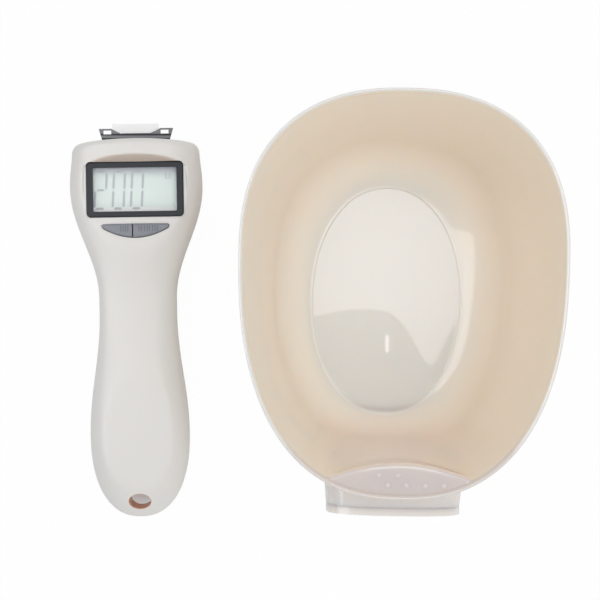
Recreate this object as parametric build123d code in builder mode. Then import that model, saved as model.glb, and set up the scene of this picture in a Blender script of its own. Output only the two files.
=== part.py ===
from build123d import *
import os
from math import copysign, cos, pi, radians, sin

os.makedirs("parts", exist_ok=True)

# A hand-held scoop scale: a handle with a weighing cell and display, and a bowl that plugs onto it.
# The two lie side by side on a table. X runs across them, Y along the handle towards its head,
# Z up. The origin is under the middle of the pair. All lengths are in millimetres.

# Layout of the pair on the table
head_width = 47.8
rim_width = 109.9
side_gap = 12.8
handle_length = 134.9
scoop_length = 143.4
head_setback = 13.6
handle_turn = 0.9
scoop_turn = -1.0

# Handle, measured along from the head's end face
face_width = 45.8
head_at = 16.0
waist_width = 28.0
waist_from = 56.0
waist_to = 62.0
grip_width = 35.8
grip_at = 105.0
end_power = 2.3
section_power = 2.8
parting_height = 12.0
head_top = 23.6
waist_top = 18.6
grip_top = 22.6
belly_sink = 0.6
waist_lift = 1.2
shell_wall = 2.0
face_round = 2.2
face_bulge = 0.8
fit_gap = 0.1

# Display facet and everything that shares its centre
facet_height = 20.4
facet_thickness = 2.0
facet_half_width = 18.2
facet_from = 9.0
facet_arch = 1.8
facet_to = 41.0
facet_slope = 35.0
display_at = 17.3
bezel_width = 34.6
bezel_length = 19.6
bezel_proud = 0.5
bezel_flange = 1.3
bezel_round = 1.6
skirt_wall = 0.8
skirt_overhang = 0.9
window_width = 29.8
window_length = 15.6
window_round = 0.4
window_lip = 1.0
skirt_drop = 0.8
lens_thickness = 1.2
pane_gap = 0.1
glass_gap = 0.2
glass_thickness = 1.8
reflector_height = 3.0
digit_width = 3.7
digit_height = 13.4
digit_pitch = 6.45
digit_lean = 3.3
bar_width = 0.8
bar_thickness = 0.06
first_digit = -13.2
unit_mark_width = 1.1
unit_mark_height = 2.6
unit_mark_across = 11.8
unit_mark_along = 5.2
unit_bar_share = 0.5

# Keys under the display
keys_at = 29.2
keys_width = 24.2
keys_depth = 5.3
keys_bow = 0.3
key_gap = 0.2
key_split = 0.4
key_proud = 0.5
key_flange = 0.8
key_flange_thickness = 0.7
key_flange_gap = 0.1
key_round = 0.3
key_travel = 0.5
stem_radius = 1.5
switch_across = 5.8
switch_along = 31.3
switch_size = 4.6
switch_height = 2.2
plunger_radius = 1.2
plunger_height = 1.1
plunger_depth = 0.8

# Circuit board and what stands on it
board_thickness = 1.6
board_half_width = 19.2
board_from = 8.3
board_step = 28.0
board_neck = 10.0
board_to = 42.0
post_across = 17.7
post_along = (10.6, 24.4)
post_radius = 1.2
board_screw_radius = 0.6
board_screw_head = 1.3
board_screw_head_height = 0.9
board_screw_length = 4.0
strip_width = 1.6
strip_length = 28.0
strip_offset = 7.0
chip_size = 6.0
chip_height = 1.0
component_rows = 3
component_across = 14.0
component_pitch = 4.5
component_length = 3.0
component_width = 1.6
component_height = 0.8

# Weighing cell and bracket
cell_width = 12.0
cell_height = 6.0
cell_length = 45.0
cell_from = 3.5
cell_base = 3.4
cell_bore = 2.2
cell_bore_pitch = 8.0
cell_bore_slot = 1.6
gauge_width = 6.0
gauge_length = 4.6
gauge_thickness = 0.15
gauge_lead_count = 4
gauge_lead_pitch = 1.4
gauge_lead_radius = 0.3
pedestal_length = 12.0
stop_gap = 0.4
bracket_thickness = 1.2
bracket_width = 27.0
bracket_root_width = 24.4
bracket_from = 1.2
bracket_reach = 5.6
tongue_reach = 7.0
tongue_shoulder = 5.5
tongue_root = 3.7
tongue_rise = 2.0
tongue_root_width = 10.0
tongue_width = 16.8
tongue_relief = 0.35
bracket_tail = 13.2
ear_window_width = 2.9
ear_window_length = 1.5
ear_window_across = 10.4
ear_window_along = 4.35
bracket_shank_width = 11.0
bracket_screws_at = (5.6, 10.4)
screw_radius = 1.25
screw_gap = 0.05
screw_head_radius = 2.2
screw_head_height = 1.2
bracket_screw_length = 4.5
cell_screws_at = (38.5, 45.0)
cell_screw_length = 7.9
slot_clearance = 0.7

# Batteries in the grip
battery_radius = 5.25
battery_length = 44.5
battery_nub_radius = 1.9
battery_nub = 0.8
battery_pitch = 11.2
battery_height = 8.0
battery_from = 70.6
contact_thickness = 0.4
contact_size = 7.6
contact_spring = 1.1
contact_spring_radius = 2.6
contact_taper = 25.0
contact_tab = 2.0
tray_gap = 0.3
tray_half_width = 12.4
tray_wall = 1.2
tray_base = 4.2
lead_radius = 0.4
lead_height = 15.2
lead_run = 9.0
lead_bend = 20.0

# Battery door in the grip's underside
door_half_width = 10.0
door_gap = 0.15
door_top = 2.2
door_tab_width = 3.0
door_tab_root = 0.7
door_tab_reach = 1.6
door_tab_thickness = 1.0
door_tab_lift = 0.3
latch_width = 8.0
latch_thickness = 1.2
latch_height = 0.5
grip_rib_start = 3.0
grip_rib_count = 5
grip_rib_pitch = 1.6
grip_rib_width = 0.7
grip_rib_depth = 0.4

# Case screws and the hanging hole
head_screw = (13.5, 34.0)
grip_screw = (8.6, 122.0)
case_screw_radius = 1.1
case_head_radius = 2.0
case_head_height = 1.4
case_head_seat = 5.6
case_boss_radius = 2.8
case_screw_depth = 3.4
drive_slot = 0.6
hang_at = 128.6
hang_radius = 2.9
hang_wall = 1.6

# Bowl, measured along from the collar's end face
bowl_height = 57.0
rim_widest = 87.9
rim_rear = 6.9
rim_power = 2.4
base_width = 60.0
base_length = 89.0
base_at = 73.1
base_power = 2.1
bowl_wall = 2.0
floor_height = 3.0
swell_share = 0.36
swell_height = 14.0
floor_width = 54.9
floor_length = 83.0
floor_step = 0.5
floor_curve = 15.0
foot_width = 3.0
foot_depth = 0.8
rim_round = 0.4

# Shelf at the bowl's rear rim, collar and socket
shelf_drop = 1.2
shelf_half_width = 23.0
shelf_front = 19.8
shelf_side = 14.4
shelf_depth = 26.0
collar_lift = 22.0
collar_reach = 26.0
collar_wall = 2.2
plate_thickness = 2.6
socket_clearance = 0.9
socket_depth = 9.0
socket_screw_across = 18.0
socket_screw_length = 6.0
socket_boss_radius = 2.6
clip_thickness = 0.4
clip_arm_width = 3.2
clip_bar_height = 2.0

# Drawing fineness
outline_points = 20
main_stations = 11
cap_angles = (24, 45, 62, 76, 86)
swell_stations = (0.0, 0.04, 0.13, 0.28, 0.5, 0.75, 1.0)

# Frames of the two halves of the pair
overall_width = head_width + side_gap + rim_width
overall_length = head_setback + handle_length
handle_origin = (
    -overall_width / 2 + head_width / 2 - head_at * sin(radians(handle_turn)),
    overall_length / 2 - head_setback,
    0,
)
scoop_origin = (
    overall_width / 2 - rim_width / 2 + rim_widest * sin(radians(scoop_turn)),
    overall_length / 2 - scoop_length,
    0,
)
handle_frame = Plane(
    origin=handle_origin,
    x_dir=(cos(radians(handle_turn)), sin(radians(handle_turn)), 0),
    z_dir=(0, 0, 1),
)
scoop_frame = Plane(
    origin=scoop_origin,
    x_dir=(cos(radians(scoop_turn)), sin(radians(scoop_turn)), 0),
    z_dir=(0, 0, 1),
)

# Heights that several pieces share
facet_under = facet_height - facet_thickness
bezel_under = facet_height + bezel_proud - bezel_flange
lens_top = facet_height + bezel_proud - window_lip
lens_under = lens_top - lens_thickness
glass_top = lens_under - glass_gap
glass_under = glass_top - glass_thickness
board_top = glass_under - reflector_height
board_under = board_top - board_thickness
cell_top = cell_base + cell_height
bracket_top = cell_top + bracket_thickness
switch_top = board_top + switch_height
plunger_top = switch_top + plunger_height
key_flange_top = facet_under - key_flange_gap
battery_to = battery_from + battery_length
bay_from = battery_from - contact_thickness - contact_spring
bay_to = battery_to + contact_thickness + contact_spring
door_from = bay_from + 0.6
door_to = bay_to - 0.6
tray_top = battery_height + battery_radius + fit_gap + tray_wall
collar_middle = collar_lift + parting_height
socket_low = collar_lift + cell_top - socket_clearance
socket_high = collar_lift + bracket_top + tongue_rise + socket_clearance
clip_height = collar_lift + bracket_top + ear_window_length / 2 - bracket_thickness / 2

# Widths and places that several pieces share
skirt_width = bezel_width - 2 * skirt_overhang
skirt_length = bezel_length - 2 * skirt_overhang
pane_width = skirt_width - 2 * skirt_wall - 2 * pane_gap
pane_length = skirt_length - 2 * skirt_wall - 2 * pane_gap
cell_to = cell_from + cell_length
cell_middle = cell_from + cell_length / 2
bracket_slot_half = bracket_root_width / 2 + slot_clearance
socket_half_width = bracket_width / 2 + socket_clearance


def flat(frame, height=0, across=0, along=0):
    """A plane parallel to the table, with its origin at a place on the frame."""
    origin = frame.from_local_coords((across, along, height))
    return Plane(origin=origin, x_dir=frame.x_dir, z_dir=frame.z_dir)


def upright(frame, along=0, height=0, across=0):
    """A plane square to the frame's length, with its local Y up, facing backwards."""
    origin = frame.from_local_coords((across, along, height))
    return Plane(origin=origin, x_dir=frame.x_dir, z_dir=-frame.y_dir)


def sideways(frame, across=0, along=0, height=0):
    """A plane square to the frame's width, facing to the right, with its local X along."""
    origin = frame.from_local_coords((across, along, height))
    return Plane(origin=origin, x_dir=frame.y_dir, z_dir=frame.x_dir)


def block(frame, across, along, up, mode=Mode.ADD):
    """A box between the low and high values given for each direction of the frame."""
    with BuildSketch(flat(frame, up[0])) as outline:
        with Locations(((across[0] + across[1]) / 2, (along[0] + along[1]) / 2)):
            Rectangle(across[1] - across[0], abs(along[1] - along[0]))
    extrude(outline.sketch, amount=up[1] - up[0], mode=mode)


def rod(frame, across, along, radius, up, mode=Mode.ADD):
    """An upright cylinder at a place on the frame."""
    with BuildSketch(flat(frame, up[0])) as outline:
        with Locations((across, along)):
            Circle(radius)
    extrude(outline.sketch, amount=up[1] - up[0], mode=mode)


def egg(half_width, front, rear, power):
    """Points round a closed outline whose two ends reach different lengths from its widest line."""
    points = []
    for step in range(outline_points):
        turn = 2 * pi * step / outline_points - pi / 2
        c, s = cos(turn), sin(turn)
        reach = front if s > 0 else rear
        x = copysign(half_width * abs(c) ** (2 / power), c)
        y = copysign(reach * abs(s) ** (2 / power), s)
        points.append((x, y))
    return points


def egg_face(half_width, front, rear, power):
    """Fills the egg outline in the sketch that is being drawn."""
    with BuildLine() as outline:
        Spline(*egg(half_width, front, rear, power), periodic=True)
    make_face(outline.edges())


def ease(low, high, place, start, finish):
    """A smooth change from low to high as place goes from start to finish."""
    share = min(max((place - start) / (finish - start), 0), 1)
    return low + (high - low) * (1 - cos(pi * share)) / 2


def handle_half_width(along):
    """Half the handle's width at a distance from the head's end."""
    if along < head_at:
        return ease(face_width, head_width, along, 0, head_at) / 2
    if along < waist_to:
        return ease(head_width, waist_width, along, head_at, waist_from) / 2
    return ease(waist_width, grip_width, along, waist_to, grip_at) / 2


def handle_rise(along):
    """Height of the handle's top above the parting line."""
    waist_at = (waist_from + waist_to) / 2
    if along < waist_at:
        return ease(head_top, waist_top, along, head_at / 2, waist_at) - parting_height
    return ease(waist_top, grip_top, along, waist_at, grip_at) - parting_height


def handle_fall(along):
    """Depth of the handle's underside below the parting line."""
    waist_at = (waist_from + waist_to) / 2
    if along < waist_at:
        return parting_height + ease(belly_sink, -waist_lift, along, head_at, waist_at)
    return parting_height + ease(-waist_lift, belly_sink, along, waist_at, grip_at * 0.7)


def handle_form(inset):
    """The handle's whole form, drawn in from its surface by inset."""
    stations = []
    start = inset - face_bulge
    for step in range(main_stations + 1):
        stations.append((start + (grip_at - start) * step / main_stations, 1.0))
    for angle in cap_angles:
        reach = sin(radians(angle))
        cap = (1 - reach**end_power) ** (1 / end_power)
        stations.append((grip_at + (handle_length - grip_at - inset) * reach, cap))
    with BuildPart() as form:
        for along, cap in stations:
            place = min(along, grip_at)
            with BuildSketch(upright(handle_frame, -along, parting_height)):
                egg_face(
                    (handle_half_width(place) - inset) * cap,
                    (handle_rise(place) - inset) * cap,
                    (handle_fall(place) - inset) * cap,
                    section_power,
                )
        loft()
    return form.part


# Handle with every boss, post and pedestal left standing inside, before it is parted
with BuildPart() as handle_outer:
    add(handle_form(0))
    fillet(handle_outer.faces().sort_by(Axis.Y)[-1].edges(), face_round)
    split(bisect_by=Plane.XY, keep=Keep.TOP)

with BuildPart() as standing:
    for side in (-1, 1):
        for across, along in (head_screw, grip_screw):
            rod(handle_frame, side * across, -along, case_boss_radius, (0, head_top))
        for along in post_along:
            rod(handle_frame, side * post_across, -along, post_radius, (board_top, head_top))
    rod(handle_frame, 0, -hang_at, hang_radius + hang_wall, (0, head_top))
    block(
        handle_frame,
        (-head_width / 2, head_width / 2),
        (-facet_to, 0),
        (facet_under, head_top),
    )
    block(
        handle_frame,
        (-cell_width / 2, cell_width / 2),
        (-cell_to, -cell_to + pedestal_length),
        (0, cell_base),
    )
    rod(handle_frame, 0, -cell_from - cell_width / 3, cell_width / 4, (0, cell_base - stop_gap))

with BuildPart() as hollow:
    add(handle_form(shell_wall))
    add(standing.part, mode=Mode.SUBTRACT)

with BuildPart() as handle_body:
    add(handle_outer.part)
    add(hollow.part, mode=Mode.SUBTRACT)

# Front shell, with the display facet, the key opening, screw bosses and board posts
with BuildSketch() as keys_outline:
    with BuildLine():
        ThreePointArc((-keys_width / 2, -keys_bow), (0, 0), (keys_width / 2, -keys_bow))
        ThreePointArc((keys_width / 2, -keys_bow), (0, -keys_depth), (-keys_width / 2, -keys_bow))
    make_face()
    fillet(keys_outline.vertices(), key_split)

with BuildPart() as front_cuts:
    with BuildSketch(flat(handle_frame, facet_height)):
        with BuildLine():
            Polyline(
                (-facet_half_width, -facet_from),
                (-facet_half_width, -facet_to),
                (facet_half_width, -facet_to),
                (facet_half_width, -facet_from),
            )
            ThreePointArc(
                (facet_half_width, -facet_from),
                (0, -facet_from + facet_arch),
                (-facet_half_width, -facet_from),
            )
        make_face()
    extrude(amount=head_top - facet_height + 1, taper=-facet_slope)
    with BuildSketch(flat(handle_frame, bezel_under, along=-display_at)):
        RectangleRounded(bezel_width + 2 * fit_gap, bezel_length + 2 * fit_gap, bezel_round)
    extrude(amount=bezel_flange)
    with BuildSketch(flat(handle_frame, facet_under, along=-display_at)):
        Rectangle(skirt_width + 2 * fit_gap, skirt_length + 2 * fit_gap)
    extrude(amount=facet_thickness)
    with BuildSketch(flat(handle_frame, facet_under, along=-keys_at)):
        add(keys_outline.sketch)
    extrude(amount=facet_thickness)
    for side in (-1, 1):
        for across, along in (head_screw, grip_screw):
            rod(
                handle_frame,
                side * across,
                -along,
                case_screw_radius + screw_gap,
                (parting_height, parting_height + case_screw_depth),
            )
        for along in post_along:
            rod(
                handle_frame,
                side * post_across,
                -along,
                board_screw_radius + screw_gap,
                (board_top, board_top + board_screw_length - board_thickness),
            )
    rod(handle_frame, 0, -hang_at, hang_radius, (0, head_top))

with BuildPart() as front_shell:
    add(handle_body.part)
    split(bisect_by=Plane.XY.offset(parting_height), keep=Keep.TOP)
    add(front_cuts.part, mode=Mode.SUBTRACT)
front_shell.part.label = "front_shell"
export_step(front_shell.part, "parts/front_shell.step")

# Rear shell, with the cell pedestal, its overload stop and the battery opening
with BuildPart() as rear_cuts:
    block(
        handle_frame,
        (-bracket_slot_half, bracket_slot_half),
        (-face_round - shell_wall, 1),
        (cell_top - slot_clearance, parting_height),
    )
    block(
        handle_frame,
        (-door_half_width - door_gap, door_half_width + door_gap),
        (-door_to, -door_from),
        (0, tray_base),
    )
    for along in cell_screws_at:
        rod(
            handle_frame,
            0,
            -along,
            screw_radius + screw_gap,
            (cell_top - cell_screw_length, cell_base),
        )
    for side in (-1, 1):
        for across, along in (head_screw, grip_screw):
            rod(
                handle_frame,
                side * across,
                -along,
                case_screw_radius + screw_gap,
                (0, parting_height),
            )
            rod(
                handle_frame,
                side * across,
                -along,
                case_head_radius + 2 * screw_gap,
                (0, case_head_seat),
            )
    rod(handle_frame, 0, -hang_at, hang_radius, (0, parting_height))

with BuildPart() as rear_shell:
    add(handle_body.part)
    split(bisect_by=Plane.XY.offset(parting_height), keep=Keep.BOTTOM)
    add(rear_cuts.part, mode=Mode.SUBTRACT)
rear_shell.part.label = "rear_shell"
export_step(rear_shell.part, "parts/rear_shell.step")

# Screws that hold the shells together, put in from the back
with BuildPart() as case_screws:
    for side in (-1, 1):
        for across, along in (head_screw, grip_screw):
            rod(
                handle_frame,
                side * across,
                -along,
                case_head_radius,
                (case_head_seat - case_head_height, case_head_seat),
            )
            rod(
                handle_frame,
                side * across,
                -along,
                case_screw_radius,
                (case_head_seat, parting_height + case_screw_depth - screw_gap),
            )
            block(
                flat(handle_frame, 0, side * across, -along),
                (-case_head_radius / 2, case_head_radius / 2),
                (-drive_slot / 2, drive_slot / 2),
                (case_head_seat - case_head_height, case_head_seat - case_head_height / 2),
                mode=Mode.SUBTRACT,
            )
            block(
                flat(handle_frame, 0, side * across, -along),
                (-drive_slot / 2, drive_slot / 2),
                (-case_head_radius / 2, case_head_radius / 2),
                (case_head_seat - case_head_height, case_head_seat - case_head_height / 2),
                mode=Mode.SUBTRACT,
            )
case_screws.part.label = "case_screws"
export_step(case_screws.part, "parts/case_screws.step")

# Dark frame round the display, with a skirt that holds the window and the glass
with BuildPart() as display_bezel:
    with BuildSketch(flat(handle_frame, bezel_under, along=-display_at)):
        RectangleRounded(bezel_width, bezel_length, bezel_round)
    extrude(amount=bezel_flange)
    fillet(display_bezel.faces().sort_by(Axis.Z)[-1].edges(), bezel_flange / 3)
    with BuildSketch(flat(handle_frame, facet_under - skirt_drop, along=-display_at)):
        Rectangle(skirt_width, skirt_length)
    extrude(amount=bezel_under - facet_under + skirt_drop)
    with BuildSketch(flat(handle_frame, facet_under - skirt_drop, along=-display_at)):
        Rectangle(skirt_width - 2 * skirt_wall, skirt_length - 2 * skirt_wall)
    extrude(amount=lens_top - facet_under + skirt_drop, mode=Mode.SUBTRACT)
    with BuildSketch(flat(handle_frame, lens_top, along=-display_at)):
        RectangleRounded(window_width, window_length, window_round)
    extrude(amount=window_lip, mode=Mode.SUBTRACT)
display_bezel.part.label = "display_bezel"
export_step(display_bezel.part, "parts/display_bezel.step")

# Clear window under the frame's lip
with BuildPart() as display_window:
    with BuildSketch(flat(handle_frame, lens_under, along=-display_at)):
        Rectangle(pane_width, pane_length)
    extrude(amount=lens_thickness)
display_window.part.label = "display_window"
export_step(display_window.part, "parts/display_window.step")

# Liquid crystal cell
with BuildPart() as lcd_glass:
    with BuildSketch(flat(handle_frame, glass_under, along=-display_at)):
        Rectangle(pane_width, pane_length)
    extrude(amount=glass_thickness)
lcd_glass.part.label = "lcd_glass"
export_step(lcd_glass.part, "parts/lcd_glass.step")


def seven_bars(width, height, lit):
    """Places the lit bars of one slanted digit, named a to g clockwise from the top, g across."""
    lean = height * sin(radians(digit_lean))
    upright_bar = height / 2 - bar_width * 1.4
    level_bar = width - bar_width * 0.8
    places = {
        "a": (lean, height, level_bar, bar_width),
        "b": (width / 2 + lean * 0.75, height * 0.75, bar_width, upright_bar),
        "c": (width / 2 + lean * 0.25, height * 0.25, bar_width, upright_bar),
        "d": (0, 0, level_bar, bar_width),
        "e": (-width / 2 + lean * 0.25, height * 0.25, bar_width, upright_bar),
        "f": (-width / 2 + lean * 0.75, height * 0.75, bar_width, upright_bar),
        "g": (lean / 2, height / 2, level_bar, bar_width),
    }
    return [places[name] for name in lit]


# Darkened segments of the liquid crystal: a reading of 200 and a small unit mark
digit_shapes = {"2": "abged", "0": "abcdef", "g": "abcdfg"}
with BuildPart() as lcd_segments:
    for place, digit in enumerate("200"):
        for x, y, wide, tall in seven_bars(digit_width, digit_height, digit_shapes[digit]):
            plane = flat(
                handle_frame,
                glass_top,
                first_digit + place * digit_pitch + x,
                -display_at - digit_height / 2 + y,
            )
            block(plane, (-wide / 2, wide / 2), (-tall / 2, tall / 2), (0, bar_thickness))
    for x, y, wide, tall in seven_bars(unit_mark_width, unit_mark_height, digit_shapes["g"]):
        plane = flat(
            handle_frame,
            glass_top,
            unit_mark_across + x,
            -display_at + unit_mark_along - unit_mark_height / 2 + y,
        )
        thin = unit_bar_share
        block(
            plane,
            (-wide * thin / 2, wide * thin / 2),
            (-tall * thin / 2, tall * thin / 2),
            (0, bar_thickness),
        )
lcd_segments.part.label = "lcd_segments"
export_step(lcd_segments.part, "parts/lcd_segments.step")

# White reflector that carries the glass on the board
with BuildPart() as reflector:
    block(
        flat(handle_frame, 0, 0, -display_at),
        (-strip_length / 2, strip_length / 2),
        (-strip_offset + strip_width / 2, strip_offset - strip_width / 2),
        (board_top, glass_under),
    )
    block(
        flat(handle_frame, 0, 0, -display_at),
        (-strip_length / 2 + skirt_wall, strip_length / 2 - skirt_wall),
        (-strip_offset + strip_width / 2 + skirt_wall, strip_offset - strip_width / 2 - skirt_wall),
        (board_top, glass_under - skirt_wall),
        mode=Mode.SUBTRACT,
    )
reflector.part.label = "reflector"
export_step(reflector.part, "parts/reflector.step")

# Rubber contact strips between the glass and the board
with BuildPart() as contact_strips:
    for side in (-1, 1):
        block(
            flat(handle_frame, 0, 0, -display_at + side * strip_offset),
            (-strip_length / 2, strip_length / 2),
            (-strip_width / 2, strip_width / 2),
            (board_top, glass_under),
        )
contact_strips.part.label = "contact_strips"
export_step(contact_strips.part, "parts/contact_strips.step")

# Main circuit board, narrower under the keys
with BuildPart() as main_board:
    block(
        handle_frame,
        (-board_half_width, board_half_width),
        (-board_step, -board_from),
        (board_under, board_top),
    )
    block(handle_frame, (-board_neck, board_neck), (-board_to, -board_step), (board_under, board_top))
    for side in (-1, 1):
        for along in post_along:
            rod(
                handle_frame,
                side * post_across,
                -along,
                board_screw_radius + screw_gap,
                (board_under, board_top),
                mode=Mode.SUBTRACT,
            )
main_board.part.label = "main_board"
export_step(main_board.part, "parts/main_board.step")

# Screws that hold the board to the front shell's posts
with BuildPart() as board_screws:
    for side in (-1, 1):
        for along in post_along:
            rod(
                handle_frame,
                side * post_across,
                -along,
                board_screw_head,
                (board_under - board_screw_head_height, board_under),
            )
            rod(
                handle_frame,
                side * post_across,
                -along,
                board_screw_radius,
                (board_under, board_under + board_screw_length - screw_gap),
            )
board_screws.part.label = "board_screws"
export_step(board_screws.part, "parts/board_screws.step")

# Measuring chip and small components under the board
with BuildPart() as measuring_chip:
    block(
        flat(handle_frame, 0, 0, -(board_from + board_to) / 2 - chip_size),
        (-chip_size / 2, chip_size / 2),
        (-chip_size / 2, chip_size / 2),
        (board_under - chip_height, board_under),
    )
measuring_chip.part.label = "measuring_chip"
export_step(measuring_chip.part, "parts/measuring_chip.step")

with BuildPart() as board_components:
    for side in (-1, 1):
        for row in range(component_rows):
            block(
                flat(handle_frame, 0, side * component_across, -board_from - component_pitch * (row + 1)),
                (-component_length / 2, component_length / 2),
                (-component_width / 2, component_width / 2),
                (board_under - component_height, board_under),
            )
board_components.part.label = "board_components"
export_step(board_components.part, "parts/board_components.step")

# Two tact switches under the keys, with their plungers
with BuildPart() as switch_cases:
    for side in (-1, 1):
        block(
            flat(handle_frame, 0, side * switch_across, -switch_along),
            (-switch_size / 2, switch_size / 2),
            (-switch_size / 2, switch_size / 2),
            (board_top, switch_top),
        )
        rod(
            handle_frame,
            side * switch_across,
            -switch_along,
            plunger_radius + fit_gap,
            (switch_top - plunger_depth - key_travel - fit_gap, switch_top),
            mode=Mode.SUBTRACT,
        )
switch_cases.part.label = "switch_cases"
export_step(switch_cases.part, "parts/switch_cases.step")


def plunger(side):
    """The button of one tact switch, under the key on that side."""
    with BuildPart() as piece:
        rod(
            handle_frame,
            side * switch_across,
            -switch_along,
            plunger_radius,
            (switch_top - plunger_depth, plunger_top),
        )
    return piece.part


def key(side):
    """One half of the lens-shaped key pair, with its retaining flange and its stem."""
    with BuildPart() as piece:
        with BuildSketch(flat(handle_frame, facet_under - key_gap, along=-keys_at)):
            add(keys_outline.sketch)
            offset(amount=-key_gap)
        extrude(amount=facet_height + key_proud - facet_under + key_gap)
        fillet(piece.faces().sort_by(Axis.Z)[-1].edges(), key_round)
        flange_low = key_flange_top - key_flange_thickness
        with BuildSketch(flat(handle_frame, flange_low, along=-keys_at)):
            add(keys_outline.sketch)
            offset(amount=key_flange)
        extrude(amount=key_flange_thickness)
        block(
            handle_frame,
            (min(side * key_split / 2, side * keys_width), max(side * key_split / 2, side * keys_width)),
            (-keys_at - 2 * keys_depth, -keys_at + keys_depth),
            (plunger_top, head_top),
            mode=Mode.INTERSECT,
        )
        rod(
            handle_frame,
            side * switch_across,
            -switch_along,
            stem_radius,
            (plunger_top, key_flange_top),
        )
    return piece.part


power_plunger = plunger(-1)
power_plunger.label = "power_plunger"
export_step(power_plunger, "parts/power_plunger.step")

unit_plunger = plunger(1)
unit_plunger.label = "unit_plunger"
export_step(unit_plunger, "parts/unit_plunger.step")

power_key = key(-1)
power_key.label = "power_key"
export_step(power_key, "parts/power_key.step")

unit_key = key(1)
unit_key.label = "unit_key"
export_step(unit_key, "parts/unit_key.step")

# Weighing cell: an aluminium bar with two joined bores where it bends
with BuildPart() as load_cell:
    block(
        handle_frame,
        (-cell_width / 2, cell_width / 2),
        (-cell_to, -cell_from),
        (cell_base, cell_top),
    )
    with BuildSketch(sideways(handle_frame, 0, -cell_middle, cell_base + cell_height / 2)):
        SlotCenterToCenter(cell_bore_pitch, cell_bore_slot)
        with Locations((-cell_bore_pitch / 2, 0), (cell_bore_pitch / 2, 0)):
            Circle(cell_bore)
    extrude(amount=cell_width / 2, both=True, mode=Mode.SUBTRACT)
    for along in bracket_screws_at:
        rod(
            handle_frame,
            0,
            -along,
            screw_radius + screw_gap,
            (cell_top - bracket_screw_length, cell_top),
            mode=Mode.SUBTRACT,
        )
    for along in cell_screws_at:
        rod(
            handle_frame,
            0,
            -along,
            screw_radius + screw_gap,
            (cell_base, cell_top),
            mode=Mode.SUBTRACT,
        )
load_cell.part.label = "load_cell"
export_step(load_cell.part, "parts/load_cell.step")

# Strain gauges over and under the two bores, and their leads up to the board
with BuildPart() as strain_gauges:
    for side in (-1, 1):
        for low in (cell_base - gauge_thickness, cell_top):
            block(
                flat(handle_frame, 0, 0, -cell_middle + side * cell_bore_pitch / 2),
                (-gauge_width / 2, gauge_width / 2),
                (-gauge_length / 2, gauge_length / 2),
                (low, low + gauge_thickness),
            )
strain_gauges.part.label = "strain_gauges"
export_step(strain_gauges.part, "parts/strain_gauges.step")

with BuildPart() as gauge_leads:
    for number in range(gauge_lead_count):
        across = (number - (gauge_lead_count - 1) / 2) * gauge_lead_pitch
        rod(handle_frame, across, -cell_middle, gauge_lead_radius, (cell_top, board_under))
gauge_leads.part.label = "gauge_leads"
export_step(gauge_leads.part, "parts/gauge_leads.step")

# Screws of the weighing cell and of the bracket on its free end
with BuildPart() as cell_screws:
    for along in cell_screws_at:
        rod(handle_frame, 0, -along, screw_head_radius, (cell_top, cell_top + screw_head_height))
        rod(
            handle_frame,
            0,
            -along,
            screw_radius,
            (cell_top - cell_screw_length + screw_gap, cell_top),
        )
cell_screws.part.label = "cell_screws"
export_step(cell_screws.part, "parts/cell_screws.step")

with BuildPart() as bracket_screws:
    for along in bracket_screws_at:
        rod(
            handle_frame,
            0,
            -along,
            screw_head_radius,
            (bracket_top, bracket_top + screw_head_height),
        )
        rod(
            handle_frame,
            0,
            -along,
            screw_radius,
            (cell_top - bracket_screw_length + screw_gap, bracket_top),
        )
bracket_screws.part.label = "bracket_screws"
export_step(bracket_screws.part, "parts/bracket_screws.step")


def tongue_face(relief, mode=Mode.ADD):
    """Plan of the bracket's tongue, wider by relief on each side, in the sketch being drawn."""
    root = tongue_root_width / 2 + relief
    side = tongue_width / 2 + relief
    with BuildLine() as outline:
        Polyline(
            (-root, tongue_root),
            (-side, tongue_shoulder),
            (-side, tongue_reach),
            (side, tongue_reach),
            (side, tongue_shoulder),
            (root, tongue_root),
            close=True,
        )
    make_face(outline.edges(), mode=mode)


# Steel bracket that carries the bowl: two windowed ears and a raised tongue between them
with BuildPart() as bracket_tongue:
    with BuildSketch(sideways(handle_frame, 0, tongue_root, cell_top)):
        with BuildLine():
            Polyline(
                (0, 0),
                (tongue_reach - tongue_root, tongue_rise),
                (tongue_reach - tongue_root, tongue_rise + bracket_thickness),
                (0, bracket_thickness),
                close=True,
            )
        make_face()
    extrude(amount=tongue_width, both=True)
    with BuildSketch(flat(handle_frame, cell_top)):
        tongue_face(0)
    extrude(amount=bracket_thickness + tongue_rise, mode=Mode.INTERSECT)

with BuildPart() as bracket:
    block(
        handle_frame,
        (-bracket_shank_width / 2, bracket_shank_width / 2),
        (-bracket_tail, bracket_from),
        (cell_top, bracket_top),
    )
    with BuildSketch(flat(handle_frame, cell_top)):
        with BuildLine():
            Polyline(
                (-bracket_root_width / 2, bracket_from),
                (-bracket_width / 2, bracket_reach),
                (bracket_width / 2, bracket_reach),
                (bracket_root_width / 2, bracket_from),
                close=True,
            )
        make_face()
        tongue_face(tongue_relief, mode=Mode.SUBTRACT)
        with Locations((-ear_window_across, ear_window_along), (ear_window_across, ear_window_along)):
            Rectangle(ear_window_width, ear_window_length, mode=Mode.SUBTRACT)
    extrude(amount=bracket_thickness)
    for along in bracket_screws_at:
        rod(
            handle_frame,
            0,
            -along,
            screw_radius + screw_gap,
            (cell_top, bracket_top),
            mode=Mode.SUBTRACT,
        )
    add(bracket_tongue.part)
bracket.part.label = "bracket"
export_step(bracket.part, "parts/bracket.step")


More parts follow.
